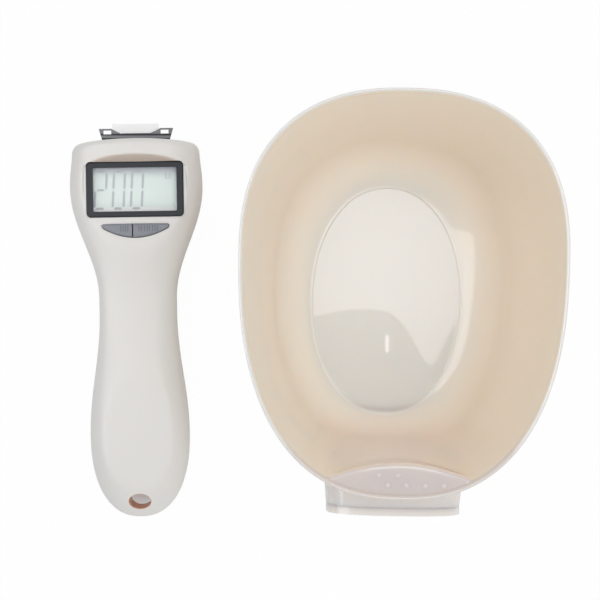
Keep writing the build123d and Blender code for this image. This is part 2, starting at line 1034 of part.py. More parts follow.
def battery(side):
    """One dry cell, on the left with its nub to the head and on the right to the tail."""
    head_end = -battery_from
    with BuildPart() as piece:
        shoulder = head_end - battery_nub * (side < 0)
        with BuildSketch(upright(handle_frame, shoulder, battery_height, side * battery_pitch / 2)):
            Circle(battery_radius)
        extrude(amount=battery_length - battery_nub)
        with BuildSketch(upright(handle_frame, head_end, battery_height, side * battery_pitch / 2)):
            Circle(battery_nub_radius)
        extrude(amount=battery_nub * (side < 0) + battery_length * (side > 0))
    return piece.part


left_battery = battery(-1)
left_battery.label = "left_battery"
export_step(left_battery, "parts/left_battery.step")

right_battery = battery(1)
right_battery.label = "right_battery"
export_step(right_battery, "parts/right_battery.step")


def contact(sides, along, inward, tabs):
    """A sprung contact plate against one end wall of the tray, pressing on the batteries."""
    low = min(along, along + inward * contact_thickness)
    left = (min(sides) * battery_pitch - contact_size) / 2
    right = (max(sides) * battery_pitch + contact_size) / 2
    with BuildPart() as piece:
        block(
            handle_frame,
            (left, right),
            (low, low + contact_thickness),
            (battery_height - contact_size / 2, battery_height + contact_size / 2),
        )
        for side in sides:
            start = along + inward * contact_thickness
            with BuildSketch(upright(handle_frame, start, battery_height, side * battery_pitch / 2)):
                Circle(contact_spring_radius)
            extrude(amount=-inward * contact_spring, taper=contact_taper)
        for side in tabs:
            middle = side * battery_pitch / 2
            block(
                handle_frame,
                (middle - contact_tab / 2, middle + contact_tab / 2),
                (low, low + contact_thickness),
                (battery_height, lead_height + 2 * lead_radius),
            )
    return piece.part


contact_positive = contact((-1,), -bay_from, -1, (-1,))
contact_positive.label = "contact_positive"
export_step(contact_positive, "parts/contact_positive.step")

contact_negative = contact((1,), -bay_from, -1, (1,))
contact_negative.label = "contact_negative"
export_step(contact_negative, "parts/contact_negative.step")

contact_bridge = contact((-1, 1), -bay_to, 1, ())
contact_bridge.label = "contact_bridge"
export_step(contact_bridge, "parts/contact_bridge.step")

# Tray over the batteries, notched for the contact tabs
tray_limit = handle_form(shell_wall + tray_gap)
with BuildPart() as battery_tray:
    block(
        handle_frame,
        (-tray_half_width, tray_half_width),
        (-bay_to - tray_wall, -bay_from + tray_wall),
        (tray_base, tray_top),
    )
    block(
        handle_frame,
        (-tray_half_width + tray_wall, tray_half_width - tray_wall),
        (-bay_to, -bay_from),
        (tray_base, tray_top - tray_wall),
        mode=Mode.SUBTRACT,
    )
    for side in (-1, 1):
        middle = side * battery_pitch / 2
        block(
            handle_frame,
            (middle - contact_tab, middle + contact_tab),
            (-bay_from - 2 * contact_thickness, -bay_from),
            (battery_height, tray_top),
            mode=Mode.SUBTRACT,
        )
    add(tray_limit, mode=Mode.INTERSECT)
battery_tray.part.label = "battery_tray"
export_step(battery_tray.part, "parts/battery_tray.step")

# Leads from the contact tabs to the board's rear edge
with BuildPart() as battery_leads:
    for side in (-1, 1):
        with BuildLine(sideways(handle_frame, side * battery_pitch / 2)) as route:
            FilletPolyline(
                (-bay_from, lead_height),
                (-bay_from + lead_run, lead_height),
                (-board_to - lead_run, (board_under + board_top) / 2),
                (-board_to, (board_under + board_top) / 2),
                radius=lead_bend,
            )
        with BuildSketch(upright(handle_frame, -bay_from, lead_height, side * battery_pitch / 2)):
            Circle(lead_radius)
        sweep(path=route.wires()[0])
battery_leads.part.label = "battery_leads"
export_step(battery_leads.part, "parts/battery_leads.step")

# Battery door, flush in the underside, with a hooked tab, a latch nib and finger ribs
with BuildPart() as battery_door:
    block(
        handle_frame,
        (-door_half_width, door_half_width),
        (-door_to + door_gap, -door_from - door_gap),
        (0, door_top),
    )
    add(handle_outer.part, mode=Mode.INTERSECT)
    block(
        handle_frame,
        (-door_tab_width / 2, door_tab_width / 2),
        (-door_from - door_gap - door_tab_root, -door_from - door_gap),
        (door_top - door_tab_thickness, door_top + door_tab_lift),
    )
    block(
        handle_frame,
        (-door_tab_width / 2, door_tab_width / 2),
        (-door_from - door_gap - door_tab_root, -door_from + door_tab_reach),
        (door_top + door_tab_lift, door_top + door_tab_lift + door_tab_thickness),
    )
    block(
        handle_frame,
        (-latch_width / 2, latch_width / 2),
        (-door_to + door_gap, -door_to + door_gap + latch_thickness),
        (door_top - door_tab_thickness, door_top + latch_height),
    )
    for number in range(grip_rib_count):
        along = -door_to + grip_rib_start + number * grip_rib_pitch
        block(
            handle_frame,
            (-latch_width, latch_width),
            (along, along + grip_rib_width),
            (0, grip_rib_depth),
            mode=Mode.SUBTRACT,
        )
battery_door.part.label = "battery_door"
export_step(battery_door.part, "parts/battery_door.step")


def bowl_outline(height, inset):
    """Half-width, front and rear reach, widest place and squareness of the bowl at a height."""
    swell = (1 - (1 - min(height / swell_height, 1)) ** 2) ** 0.5
    grow = swell_share * swell + (1 - swell_share) * height / bowl_height
    widest = base_at + (rim_widest - base_at) * grow
    front = base_at + base_length / 2 + (scoop_length - base_at - base_length / 2) * grow
    rear = base_at - base_length / 2 + (rim_rear - base_at + base_length / 2) * grow
    half_width = (base_width + (rim_width - base_width) * grow) / 2
    power = base_power + (rim_power - base_power) * grow
    return half_width - inset, front - widest - inset, widest - rear - inset, widest, power


def bowl_form(low, inset):
    """The bowl's form from a height up to its rim, drawn in from its outer surface by inset."""
    with BuildPart() as form:
        profiles = []
        for share in swell_stations:
            height = low + (swell_height - low) * share
            half_width, front, rear, widest, power = bowl_outline(height, inset)
            with BuildSketch(flat(scoop_frame, height, 0, widest)) as profile:
                egg_face(half_width, front, rear, power)
            profiles.append(profile.sketch)
        loft(profiles)
        half_width, front, rear, widest, power = bowl_outline(bowl_height, inset)
        with BuildSketch(flat(scoop_frame, bowl_height, 0, widest)) as profile:
            egg_face(half_width, front, rear, power)
        loft([profiles[-1], profile.sketch], ruled=True)
    return form.part


def bowl_hollow():
    """The bowl's inside, which curves out of the floor's oval into the wall."""
    floor_oval = (floor_width / 2, floor_length / 2, floor_length / 2, base_at, base_power)
    with BuildPart() as form:
        profiles = []
        for share in (*swell_stations, bowl_height / floor_curve):
            height = min(floor_height + floor_curve * share, bowl_height)
            curve = (1 - (1 - min(share, 1)) ** 2) ** 0.5
            wall = bowl_outline(height, bowl_wall)
            shape = [low + (high - low) * curve for low, high in zip(floor_oval, wall)]
            half_width, front, rear, widest, power = shape
            with BuildSketch(flat(scoop_frame, height, 0, widest)) as profile:
                egg_face(half_width, front, rear, power)
            profiles.append(profile.sketch)
        loft(profiles[:-1])
        loft(profiles[-2:], ruled=True)
    return form.part


def collar_section(inset):
    """Fills the handle's end section, drawn in by inset, in the sketch that is being drawn."""
    egg_face(
        face_width / 2 - inset,
        head_top - parting_height - inset,
        parting_height - inset,
        section_power,
    )


bowl_core = bowl_form(0, bowl_wall / 2)

# Shelf across the bowl's rear rim
with BuildPart() as shelf:
    with BuildSketch(flat(scoop_frame, bowl_height - shelf_drop - shelf_depth)):
        with BuildLine():
            ThreePointArc(
                (-shelf_half_width, shelf_side), (0, shelf_front), (shelf_half_width, shelf_side)
            )
            Polyline(
                (shelf_half_width, shelf_side),
                (shelf_half_width, 0),
                (-shelf_half_width, 0),
                (-shelf_half_width, shelf_side),
            )
        make_face()
    extrude(amount=shelf_depth)
    add(bowl_core, mode=Mode.INTERSECT)

# Hollow collar behind the bowl, with two bosses for the end plate's screws
with BuildPart() as collar:
    with BuildSketch(upright(scoop_frame, collar_reach, collar_middle)):
        collar_section(0)
        with BuildLine() as hollow:
            Spline(
                *egg(
                    face_width / 2 - collar_wall,
                    head_top - parting_height - collar_wall,
                    parting_height - collar_wall,
                    section_power,
                ),
                periodic=True,
            )
        make_face(mode=Mode.SUBTRACT)
    extrude(amount=collar_reach - plate_thickness)
    for side in (-1, 1):
        with BuildSketch(upright(scoop_frame, collar_reach, collar_middle, side * socket_screw_across)):
            Circle(socket_boss_radius)
        extrude(amount=collar_reach - plate_thickness)
    add(bowl_core, mode=Mode.SUBTRACT)
    for side in (-1, 1):
        with BuildSketch(upright(scoop_frame, plate_thickness, collar_middle, side * socket_screw_across)):
            Circle(case_screw_radius + screw_gap)
        extrude(amount=-socket_screw_length, mode=Mode.SUBTRACT)

with BuildPart() as scoop_bowl:
    add(bowl_form(0, 0))
    add(bowl_hollow(), mode=Mode.SUBTRACT)
    fillet(scoop_bowl.faces().sort_by(Axis.Z)[-1].edges(), rim_round)
    add(shelf.part)
    with BuildSketch(flat(scoop_frame, floor_height - floor_step, 0, base_at)):
        egg_face(floor_width / 2, floor_length / 2, floor_length / 2, base_power)
    extrude(amount=floor_step, mode=Mode.SUBTRACT)
    with BuildSketch(flat(scoop_frame, 0, 0, base_at)):
        egg_face(
            base_width / 2 - foot_width,
            base_length / 2 - foot_width,
            base_length / 2 - foot_width,
            base_power,
        )
    extrude(amount=foot_depth, mode=Mode.SUBTRACT)
    add(collar.part)
scoop_bowl.part.label = "scoop_bowl"
export_step(scoop_bowl.part, "parts/scoop_bowl.step")

# End plate with the slot that the bracket goes into
with BuildPart() as socket_plate:
    with BuildSketch(upright(scoop_frame, plate_thickness, collar_middle)):
        collar_section(0)
    extrude(amount=plate_thickness)
    block(
        scoop_frame,
        (-socket_half_width, socket_half_width),
        (0, plate_thickness),
        (socket_low, socket_high),
        mode=Mode.SUBTRACT,
    )
    for side in (-1, 1):
        with BuildSketch(upright(scoop_frame, plate_thickness, collar_middle, side * socket_screw_across)):
            Circle(case_screw_radius + screw_gap)
        extrude(amount=plate_thickness, mode=Mode.SUBTRACT)
        with BuildSketch(upright(scoop_frame, case_head_height, collar_middle, side * socket_screw_across)):
            Circle(case_head_radius + 2 * screw_gap)
        extrude(amount=case_head_height, mode=Mode.SUBTRACT)
socket_plate.part.label = "socket_plate"
export_step(socket_plate.part, "parts/socket_plate.step")

with BuildPart() as plate_screws:
    for side in (-1, 1):
        with BuildSketch(upright(scoop_frame, case_head_height, collar_middle, side * socket_screw_across)):
            Circle(case_head_radius)
        extrude(amount=case_head_height)
        with BuildSketch(upright(scoop_frame, case_head_height, collar_middle, side * socket_screw_across)):
            Circle(case_screw_radius)
        extrude(amount=-(plate_thickness - case_head_height + socket_screw_length - screw_gap))
plate_screws.part.label = "plate_screws"
export_step(plate_screws.part, "parts/plate_screws.step")

# Steel clip behind the plate, whose two arms press into the bracket's windows
with BuildPart() as socket_clip:
    block(
        scoop_frame,
        (-ear_window_across - clip_arm_width / 2, ear_window_across + clip_arm_width / 2),
        (plate_thickness, plate_thickness + clip_thickness),
        (socket_high, socket_high + clip_bar_height),
    )
    for side in (-1, 1):
        middle = side * ear_window_across
        block(
            scoop_frame,
            (middle - clip_arm_width / 2, middle + clip_arm_width / 2),
            (plate_thickness, plate_thickness + clip_thickness),
            (clip_height, socket_high),
        )
        block(
            scoop_frame,
            (middle - clip_arm_width / 2, middle + clip_arm_width / 2),
            (plate_thickness, socket_depth),
            (clip_height, clip_height + clip_thickness),
        )
        with Locations(scoop_frame.from_local_coords((middle, ear_window_along, clip_height))):
            Sphere(ear_window_length / 2)
socket_clip.part.label = "socket_clip"
export_step(socket_clip.part, "parts/socket_clip.step")
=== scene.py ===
"""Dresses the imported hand-held scoop scale: handle with display, and bowl, side by side."""

from __future__ import annotations

import logging
import math
from dataclasses import astuple, dataclass, field, replace
from enum import Enum

import bmesh
import bpy
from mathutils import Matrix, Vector

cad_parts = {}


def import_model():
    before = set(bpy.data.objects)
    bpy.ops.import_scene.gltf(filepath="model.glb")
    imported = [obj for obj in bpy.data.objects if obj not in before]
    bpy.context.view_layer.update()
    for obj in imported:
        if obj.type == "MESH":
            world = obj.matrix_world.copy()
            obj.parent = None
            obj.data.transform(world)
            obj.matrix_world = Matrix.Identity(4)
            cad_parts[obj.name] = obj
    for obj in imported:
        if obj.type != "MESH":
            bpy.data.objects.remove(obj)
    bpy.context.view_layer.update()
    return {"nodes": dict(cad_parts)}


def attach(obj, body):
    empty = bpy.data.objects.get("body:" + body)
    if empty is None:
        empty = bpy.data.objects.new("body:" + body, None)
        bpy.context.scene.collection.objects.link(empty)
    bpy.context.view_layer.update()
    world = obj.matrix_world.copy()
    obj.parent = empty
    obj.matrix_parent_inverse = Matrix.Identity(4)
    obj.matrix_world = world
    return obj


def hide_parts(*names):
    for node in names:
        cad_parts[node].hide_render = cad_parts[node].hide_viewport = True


LOG = logging.getLogger("scoop_scale")
MM = 0.001

Color = tuple[float, float, float]
Point = tuple[float, float]


class Pattern(Enum):
    """The kinds of surface that the finishes share."""

    MOULDED = "moulded"
    SHELL = "handle shell"
    BRUSHED = "brushed"
    PRINTED_BOARD = "printed board"
    SLEEVE = "battery sleeve"
    DISPLAY = "display"
    BOWL = "bowl"
    BRACKET = "bracket"


class Body(Enum):
    """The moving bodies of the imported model."""

    HANDLE = "handle"
    POWER_KEY = "power_key"
    UNIT_KEY = "unit_key"
    SCOOP = "scoop"


@dataclass(frozen=True)
class Place:
    """Where one half of the pair stands on the table.

    Attributes:
        x: Place of its origin along X in millimetres.
        y: Place of its origin along Y in millimetres.
        turn: Its turn about Z in degrees.
    """

    x: float
    y: float
    turn: float

    def point(self, across: float, along: float, up: float) -> Vector:
        """Gives a place on this half in the shared frame.

        Args:
            across: Millimetres to the right of its middle line.
            along: Millimetres along that line.
            up: Height in millimetres.

        Returns:
            The place in metres.
        """
        c, s = math.cos(math.radians(self.turn)), math.sin(math.radians(self.turn))
        x = self.x + across * c - along * s
        y = self.y + across * s + along * c
        return Vector((x * MM, y * MM, up * MM))


# Places and sizes in millimetres that the shapes share with the painted patterns
HANDLE_PLACE = Place(-61.601, 60.65, 0.9)
BOWL_PLACE = Place(28.766, -69.15, -1.0)
HANG_HOLE_AT: Point = (0.0, -128.6)
HANG_HOLE: Point = (4.0, 2.85)
FLOOR_AT: Point = (0.0, 73.1)
FLOOR: Point = (27.45, 41.5)
FLOOR_POWER = 2.1


@dataclass(frozen=True)
class Finish:
    """The look of one material.

    Attributes:
        name: Name of the material.
        color: Base colour, as linear light.
        roughness: Roughness of the surface.
        pattern: Kind of surface pattern.
        tint: Second colour, which the pattern drifts towards.
        drift: How far the pattern drifts, from 0 to 1.
        grain: Height of the fine grain in millimetres.
        grain_size: Spacing of the grain in millimetres.
        metallic: 1 for a bare metal.
        coat: Weight of a clear gloss coat.
        alpha: Opacity.
        shine: Strength of plain reflections, where 0.5 is usual for plastic.
        glow: Share of light that passes softly through the plastic.
        glow_reach: How far that light travels, in millimetres.
        accent: Colour of what the pattern draws: print on the board and the sleeve; painted shade
            on the display's upper edge and the shelf; painted warm shade on the hang hole's wall;
            a painted reflection on the bracket's tongue.
        edge: Colour of the pattern's second mark: a painted highlight on the bowl's rim and the
            display's lower edge, painted shade on the hood over the display and in the bracket's
            folds.
        painted_glow: Colour of the painted glow on the bowl's lower wall.
        socket: Colour of the collar and its end plate.
        line: Colour of the painted highlight line round the bowl's floor.
    """

    name: str
    color: Color
    roughness: float
    pattern: Pattern = Pattern.MOULDED
    tint: Color = (0.5, 0.5, 0.5)
    drift: float = 0.1
    grain: float = 0.004
    grain_size: float = 0.8
    metallic: float = 0.0
    coat: float = 0.0
    alpha: float = 1.0
    shine: float = 0.5
    glow: float = 0.0
    glow_reach: float = 4.0
    accent: Color = (0.5, 0.5, 0.5)
    edge: Color = (0.8, 0.8, 0.8)
    painted_glow: Color = (0.8, 0.8, 0.8)
    socket: Color = (0.8, 0.8, 0.8)
    line: Color = (0.8, 0.8, 0.8)


SHELL = Finish(
    "shell_plastic",
    (0.755, 0.74, 0.715),
    0.34,
    pattern=Pattern.SHELL,
    tint=(0.735, 0.71, 0.67),
    glow=0.12,
    # accent: painted warm shade on the hang hole's wall
    accent=(0.80, 0.46, 0.28),
    # edge: painted shade on the hood over the display
    edge=(0.66, 0.56, 0.48),
)
BOWL = Finish(
    "bowl_plastic",
    (0.845, 0.72, 0.605),
    0.30,
    pattern=Pattern.BOWL,
    tint=(0.83, 0.695, 0.58),
    drift=0.3,
    grain=0.0012,
    grain_size=6.0,
    coat=1.0,
    glow=0.55,
    glow_reach=7.0,
    # accent: painted shade, darker and greyer, on the flat shelf
    accent=(0.67, 0.61, 0.59),
    # edge: painted highlight, a paler cooler band on the rim
    edge=(0.76, 0.735, 0.70),
    # painted glow: a paler lower wall towards the floor, standing in for light through the
    # plastic
    painted_glow=(0.93, 0.855, 0.77),
    socket=(0.90, 0.81, 0.76),
    # line: painted highlight, a bright line round the floor's edge
    line=(1.0, 0.92, 0.84),
)
BEZEL = Finish(
    "bezel_plastic",
    (0.014, 0.018, 0.024),
    0.42,
    tint=(0.03, 0.035, 0.045),
    shine=0.36,
)
WINDOW = Finish("clear_window", (0.92, 0.95, 0.94), 0.05, alpha=0.10, grain=0.0, drift=0.02)
LCD = Finish(
    "display_cell",
    (0.80, 0.91, 0.88),
    0.22,
    pattern=Pattern.DISPLAY,
    tint=(0.78, 0.86, 0.83),
    # accent: painted shade under the display's upper edge
    accent=(0.52, 0.57, 0.64),
    # edge: painted highlight on the display's lower edge
    edge=(0.97, 0.99, 1.0),
)
INK = Finish("segment_ink", (0.50, 0.53, 0.58), 0.55, tint=(0.46, 0.49, 0.54), grain=0.0)
KEY = Finish("key_plastic", (0.205, 0.22, 0.25), 0.36, tint=(0.25, 0.26, 0.29), coat=0.1)
MARK = Finish("key_mark", (0.125, 0.135, 0.165), 0.5, tint=(0.15, 0.155, 0.19), grain=0.0)
# shelf dots carry the shelf's painted shade: bowl plastic darkened to the shelf's tone
DOT = Finish("shelf_dot", (0.70, 0.645, 0.625), 0.34, tint=(0.68, 0.62, 0.60), grain=0.0)
WHITE = Finish("white_plastic", (0.80, 0.80, 0.79), 0.45, tint=(0.74, 0.74, 0.70))
RUBBER = Finish("contact_rubber", (0.03, 0.03, 0.03), 0.7, tint=(0.06, 0.06, 0.06), grain=0.01)
BOARD = Finish(
    "board",
    (0.02, 0.16, 0.07),
    0.35,
    pattern=Pattern.PRINTED_BOARD,
    tint=(0.03, 0.20, 0.09),
    accent=(0.05, 0.32, 0.15),
    coat=0.4,
)
COMPONENT = Finish("component", (0.025, 0.025, 0.028), 0.42, tint=(0.07, 0.07, 0.07))
STEEL = Finish(
    "steel",
    (0.56, 0.56, 0.55),
    0.30,
    pattern=Pattern.BRUSHED,
    tint=(0.40, 0.40, 0.40),
    drift=0.4,
    metallic=1.0,
    grain=0.003,
    grain_size=0.35,
)
BRACKET = Finish(
    "bracket_steel",
    # color: painted shade, steel darkened as if lying in shadow
    (0.125, 0.13, 0.135),
    0.36,
    pattern=Pattern.BRACKET,
    tint=(0.17, 0.175, 0.18),
    drift=0.5,
    metallic=1.0,
    grain=0.003,
    grain_size=0.35,
    # accent: painted reflection, a pale tongue that stands in for light on the steel
    accent=(0.92, 0.92, 0.93),
    # edge: painted shade in the bracket's folds
    edge=(0.035, 0.036, 0.04),
)
SPRING = Finish(
    "spring_steel",
    (0.72, 0.72, 0.72),
    0.16,
    pattern=Pattern.BRUSHED,
    tint=(0.6, 0.6, 0.6),
    metallic=1.0,
    grain=0.001,
)
CELL = Finish(
    "cell_aluminium",
    (0.72, 0.73, 0.74),
    0.34,
    pattern=Pattern.BRUSHED,
    tint=(0.60, 0.61, 0.62),
    metallic=1.0,
    grain_size=0.6,
)
GAUGE = Finish("gauge_film", (0.50, 0.26, 0.06), 0.35, tint=(0.62, 0.36, 0.10), coat=0.3)
SLEEVE = Finish(
    "battery_sleeve",
    (0.05, 0.08, 0.10),
    0.22,
    pattern=Pattern.SLEEVE,
    tint=(0.07, 0.10, 0.12),
    accent=(0.62, 0.40, 0.10),
    coat=0.5,
)
WIRE = Finish("wire", (0.45, 0.03, 0.03), 0.4, tint=(0.30, 0.02, 0.02), grain=0.002)

NODE_FINISHES: dict[str, Finish] = {
    "front_shell": SHELL,
    "rear_shell": SHELL,
    "case_screws": STEEL,
    "display_bezel": BEZEL,
    "display_window": WINDOW,
    "lcd_glass": LCD,
    "lcd_segments": INK,
    "reflector": WHITE,
    "contact_strips": RUBBER,
    "main_board": BOARD,
    "board_screws": STEEL,
    "measuring_chip": COMPONENT,
    "board_components": COMPONENT,
    "switch_cases": COMPONENT,
    "power_plunger": WHITE,
    "unit_plunger": WHITE,
    "power_key": KEY,
    "unit_key": KEY,
    "load_cell": CELL,
    "strain_gauges": GAUGE,
    "gauge_leads": WIRE,
    "cell_screws": STEEL,
    "bracket_screws": STEEL,
    "bracket": BRACKET,
    "left_battery": SLEEVE,
    "right_battery": SLEEVE,
    "contact_positive": SPRING,
    "contact_negative": SPRING,
    "contact_bridge": SPRING,
    "battery_tray": WHITE,
    "battery_leads": WIRE,
    "battery_door": SHELL,
    "scoop_bowl": BOWL,
    "socket_plate": BOWL,
    "socket_clip": SPRING,
    "plate_screws": STEEL,
}


@dataclass(frozen=True)
class Marks:
    """Where the painted colours change: print, painted light and painted shade.

    A pair is the place where a change starts and the one where it ends. Places are in
    millimetres in the shared frame, and an oval's edge is a share of its size, raised to its
    power.

    Attributes:
        sleeve_end: Along Y, the coloured end of a battery's sleeve.
        display_shade: Along Y, the shade under the display's upper edge.
        display_light: Along Y, the light on its lower edge.
        folds: Along Y, the middles of the bracket's two folds, which get painted shade.
        fold_edge: Distance from a fold's middle.
        tongue: Height of the bracket's tongue, which gets a painted reflection.
        hood_at: Middle of the painted shade on the hood over the display, on the handle.
        hood: Half the hood's width and length.
        hood_edge: Edge of the hood.
        hole_edge: Edge of the painted warm shade on the hang hole's wall.
        shelf_back: Along Y, the painted shade on the bowl's shelf.
        shelf_level: Height of the shelf, where that painted shade starts.
        painted_glow: Height of the painted glow on the lower wall, towards the bowl's floor.
        rim: Height of the rim, where its painted highlight starts.
        painted_highlight_inner: Inner edge of the painted highlight line round the floor.
        painted_highlight_outer: Outer edge of that painted highlight line.
        painted_highlight_front: Along Y, where that painted highlight fades in.
        socket_back: Along Y, the collar.
        socket_top: Height under which the collar has its own colour.
    """

    sleeve_end: Point = (-42.0, -40.0)
    display_shade: Point = (47.0, 51.5)
    display_light: Point = (37.4, 36.7)
    folds: Point = (62.4, 64.0)
    fold_edge: Point = (0.5, 0.2)
    tongue: Point = (10.62, 10.75)
    hood_at: Point = (0.0, -7.6)
    hood: Point = (15.8, 2.9)
    hood_edge: Point = (1.15, 0.55)
    hole_edge: Point = (1.09, 1.01)
    shelf_back: Point = (-40.0, -49.0)
    shelf_level: Point = (55.1, 55.7)
    painted_glow: Point = (20.0, 4.0)
    rim: Point = (56.3, 56.8)
    painted_highlight_inner: Point = (0.980, 0.998)
    painted_highlight_outer: Point = (1.052, 1.034)
    painted_highlight_front: Point = (44.0, 34.0)
    socket_back: Point = (-57.0, -59.0)
    socket_top: Point = (50.0, 48.0)


class SurfaceGroups:
    """Shader node groups that the finishes share."""

    def __init__(self) -> None:
        """Builds each group once."""
        self.moulded = self._moulded()
        self.brushed = self._brushed()

    @staticmethod
    def _start(name: str) -> bpy.types.NodeTree:
        """Opens a group with its named inputs and the outputs Color, Roughness and Height.

        Args:
            name: Name of the group.

        Returns:
            The group's node tree, with its two end nodes.
        """
        tree = bpy.data.node_groups.new(name, "ShaderNodeTree")
        for label in ("Base", "Tint"):
            tree.interface.new_socket(label, in_out="INPUT", socket_type="NodeSocketColor")
        for label in ("Drift", "Rough", "Grain"):
            tree.interface.new_socket(label, in_out="INPUT", socket_type="NodeSocketFloat")
        tree.interface.new_socket("Color", in_out="OUTPUT", socket_type="NodeSocketColor")
        tree.interface.new_socket("Roughness", in_out="OUTPUT", socket_type="NodeSocketFloat")
        tree.interface.new_socket("Height", in_out="OUTPUT", socket_type="NodeSocketFloat")
        tree.nodes.new("NodeGroupInput").name = "In"
        tree.nodes.new("NodeGroupOutput").name = "Out"
        return tree

    @staticmethod
    def _noise(tree: bpy.types.NodeTree, detail: float, stretch: Color) -> bpy.types.Node:
        """Adds a noise on stretched object coordinates.

        Args:
            tree: The group that the noise goes into.
            detail: Detail of the noise.
            stretch: Scale along X, Y and Z.

        Returns:
            The noise node, whose Scale is left to the caller.
        """
        where = tree.nodes.new("ShaderNodeTexCoord")
        mapping = tree.nodes.new("ShaderNodeMapping")
        mapping.inputs["Scale"].default_value = stretch
        noise = tree.nodes.new("ShaderNodeTexNoise")
        noise.inputs["Detail"].default_value = detail
        tree.links.new(where.outputs["Object"], mapping.inputs["Vector"])
        tree.links.new(mapping.outputs["Vector"], noise.inputs["Vector"])
        return noise

    def _finish(
        self,
        tree: bpy.types.NodeTree,
        broad: bpy.types.Node,
        fine: bpy.types.Node,
        spread: float,
    ) -> bpy.types.NodeTree:
        """Mixes the two colours by the broad noise and the roughness by the fine one.

        Args:
            tree: The group.
            broad: Noise for the colour.
            fine: Noise for the grain.
            spread: How far the roughness may move.

        Returns:
            The finished group.
        """
        entry = tree.nodes["In"].outputs
        leave = tree.nodes["Out"].inputs
        share = tree.nodes.new("ShaderNodeMath")
        share.operation = "MULTIPLY"
        mix = tree.nodes.new("ShaderNodeMix")
        mix.data_type = "RGBA"
        rough = tree.nodes.new("ShaderNodeMapRange")
        rough.inputs["To Min"].default_value = -spread
        rough.inputs["To Max"].default_value = spread
        total = tree.nodes.new("ShaderNodeMath")
        total.operation = "ADD"
        link = tree.links.new
        link(broad.outputs["Fac"], share.inputs[0])
        link(entry["Drift"], share.inputs[1])
        link(share.outputs[0], mix.inputs["Factor"])
        link(entry["Base"], mix.inputs["A"])
        link(entry["Tint"], mix.inputs["B"])
        link(fine.outputs["Fac"], rough.inputs["Value"])
        link(rough.outputs["Result"], total.inputs[0])
        link(entry["Rough"], total.inputs[1])
        link(mix.outputs["Result"], leave["Color"])
        link(total.outputs[0], leave["Roughness"])
        link(fine.outputs["Fac"], leave["Height"])
        return tree

    def _moulded(self) -> bpy.types.NodeTree:
        """Builds moulded plastic: a slow drift of colour and a fine grain.

        Returns:
            The group.
        """
        tree = self._start("moulded_surface")
        broad = self._noise(tree, detail=2.0, stretch=(1.0, 1.0, 1.0))
        broad.inputs["Scale"].default_value = 22.0
        fine = self._noise(tree, detail=3.0, stretch=(1.0, 1.0, 1.0))
        tree.links.new(tree.nodes["In"].outputs["Grain"], fine.inputs["Scale"])
        return self._finish(tree, broad, fine, spread=0.035)

    def _brushed(self) -> bpy.types.NodeTree:
        """Builds brushed metal: grain drawn out along Y.

        Returns:
            The group.
        """
        tree = self._start("brushed_surface")
        broad = self._noise(tree, detail=4.0, stretch=(1.0, 0.12, 1.0))
        broad.inputs["Scale"].default_value = 420.0
        fine = self._noise(tree, detail=2.0, stretch=(1.0, 0.05, 1.0))
        tree.links.new(tree.nodes["In"].outputs["Grain"], fine.inputs["Scale"])
        return self._finish(tree, broad, fine, spread=0.08)


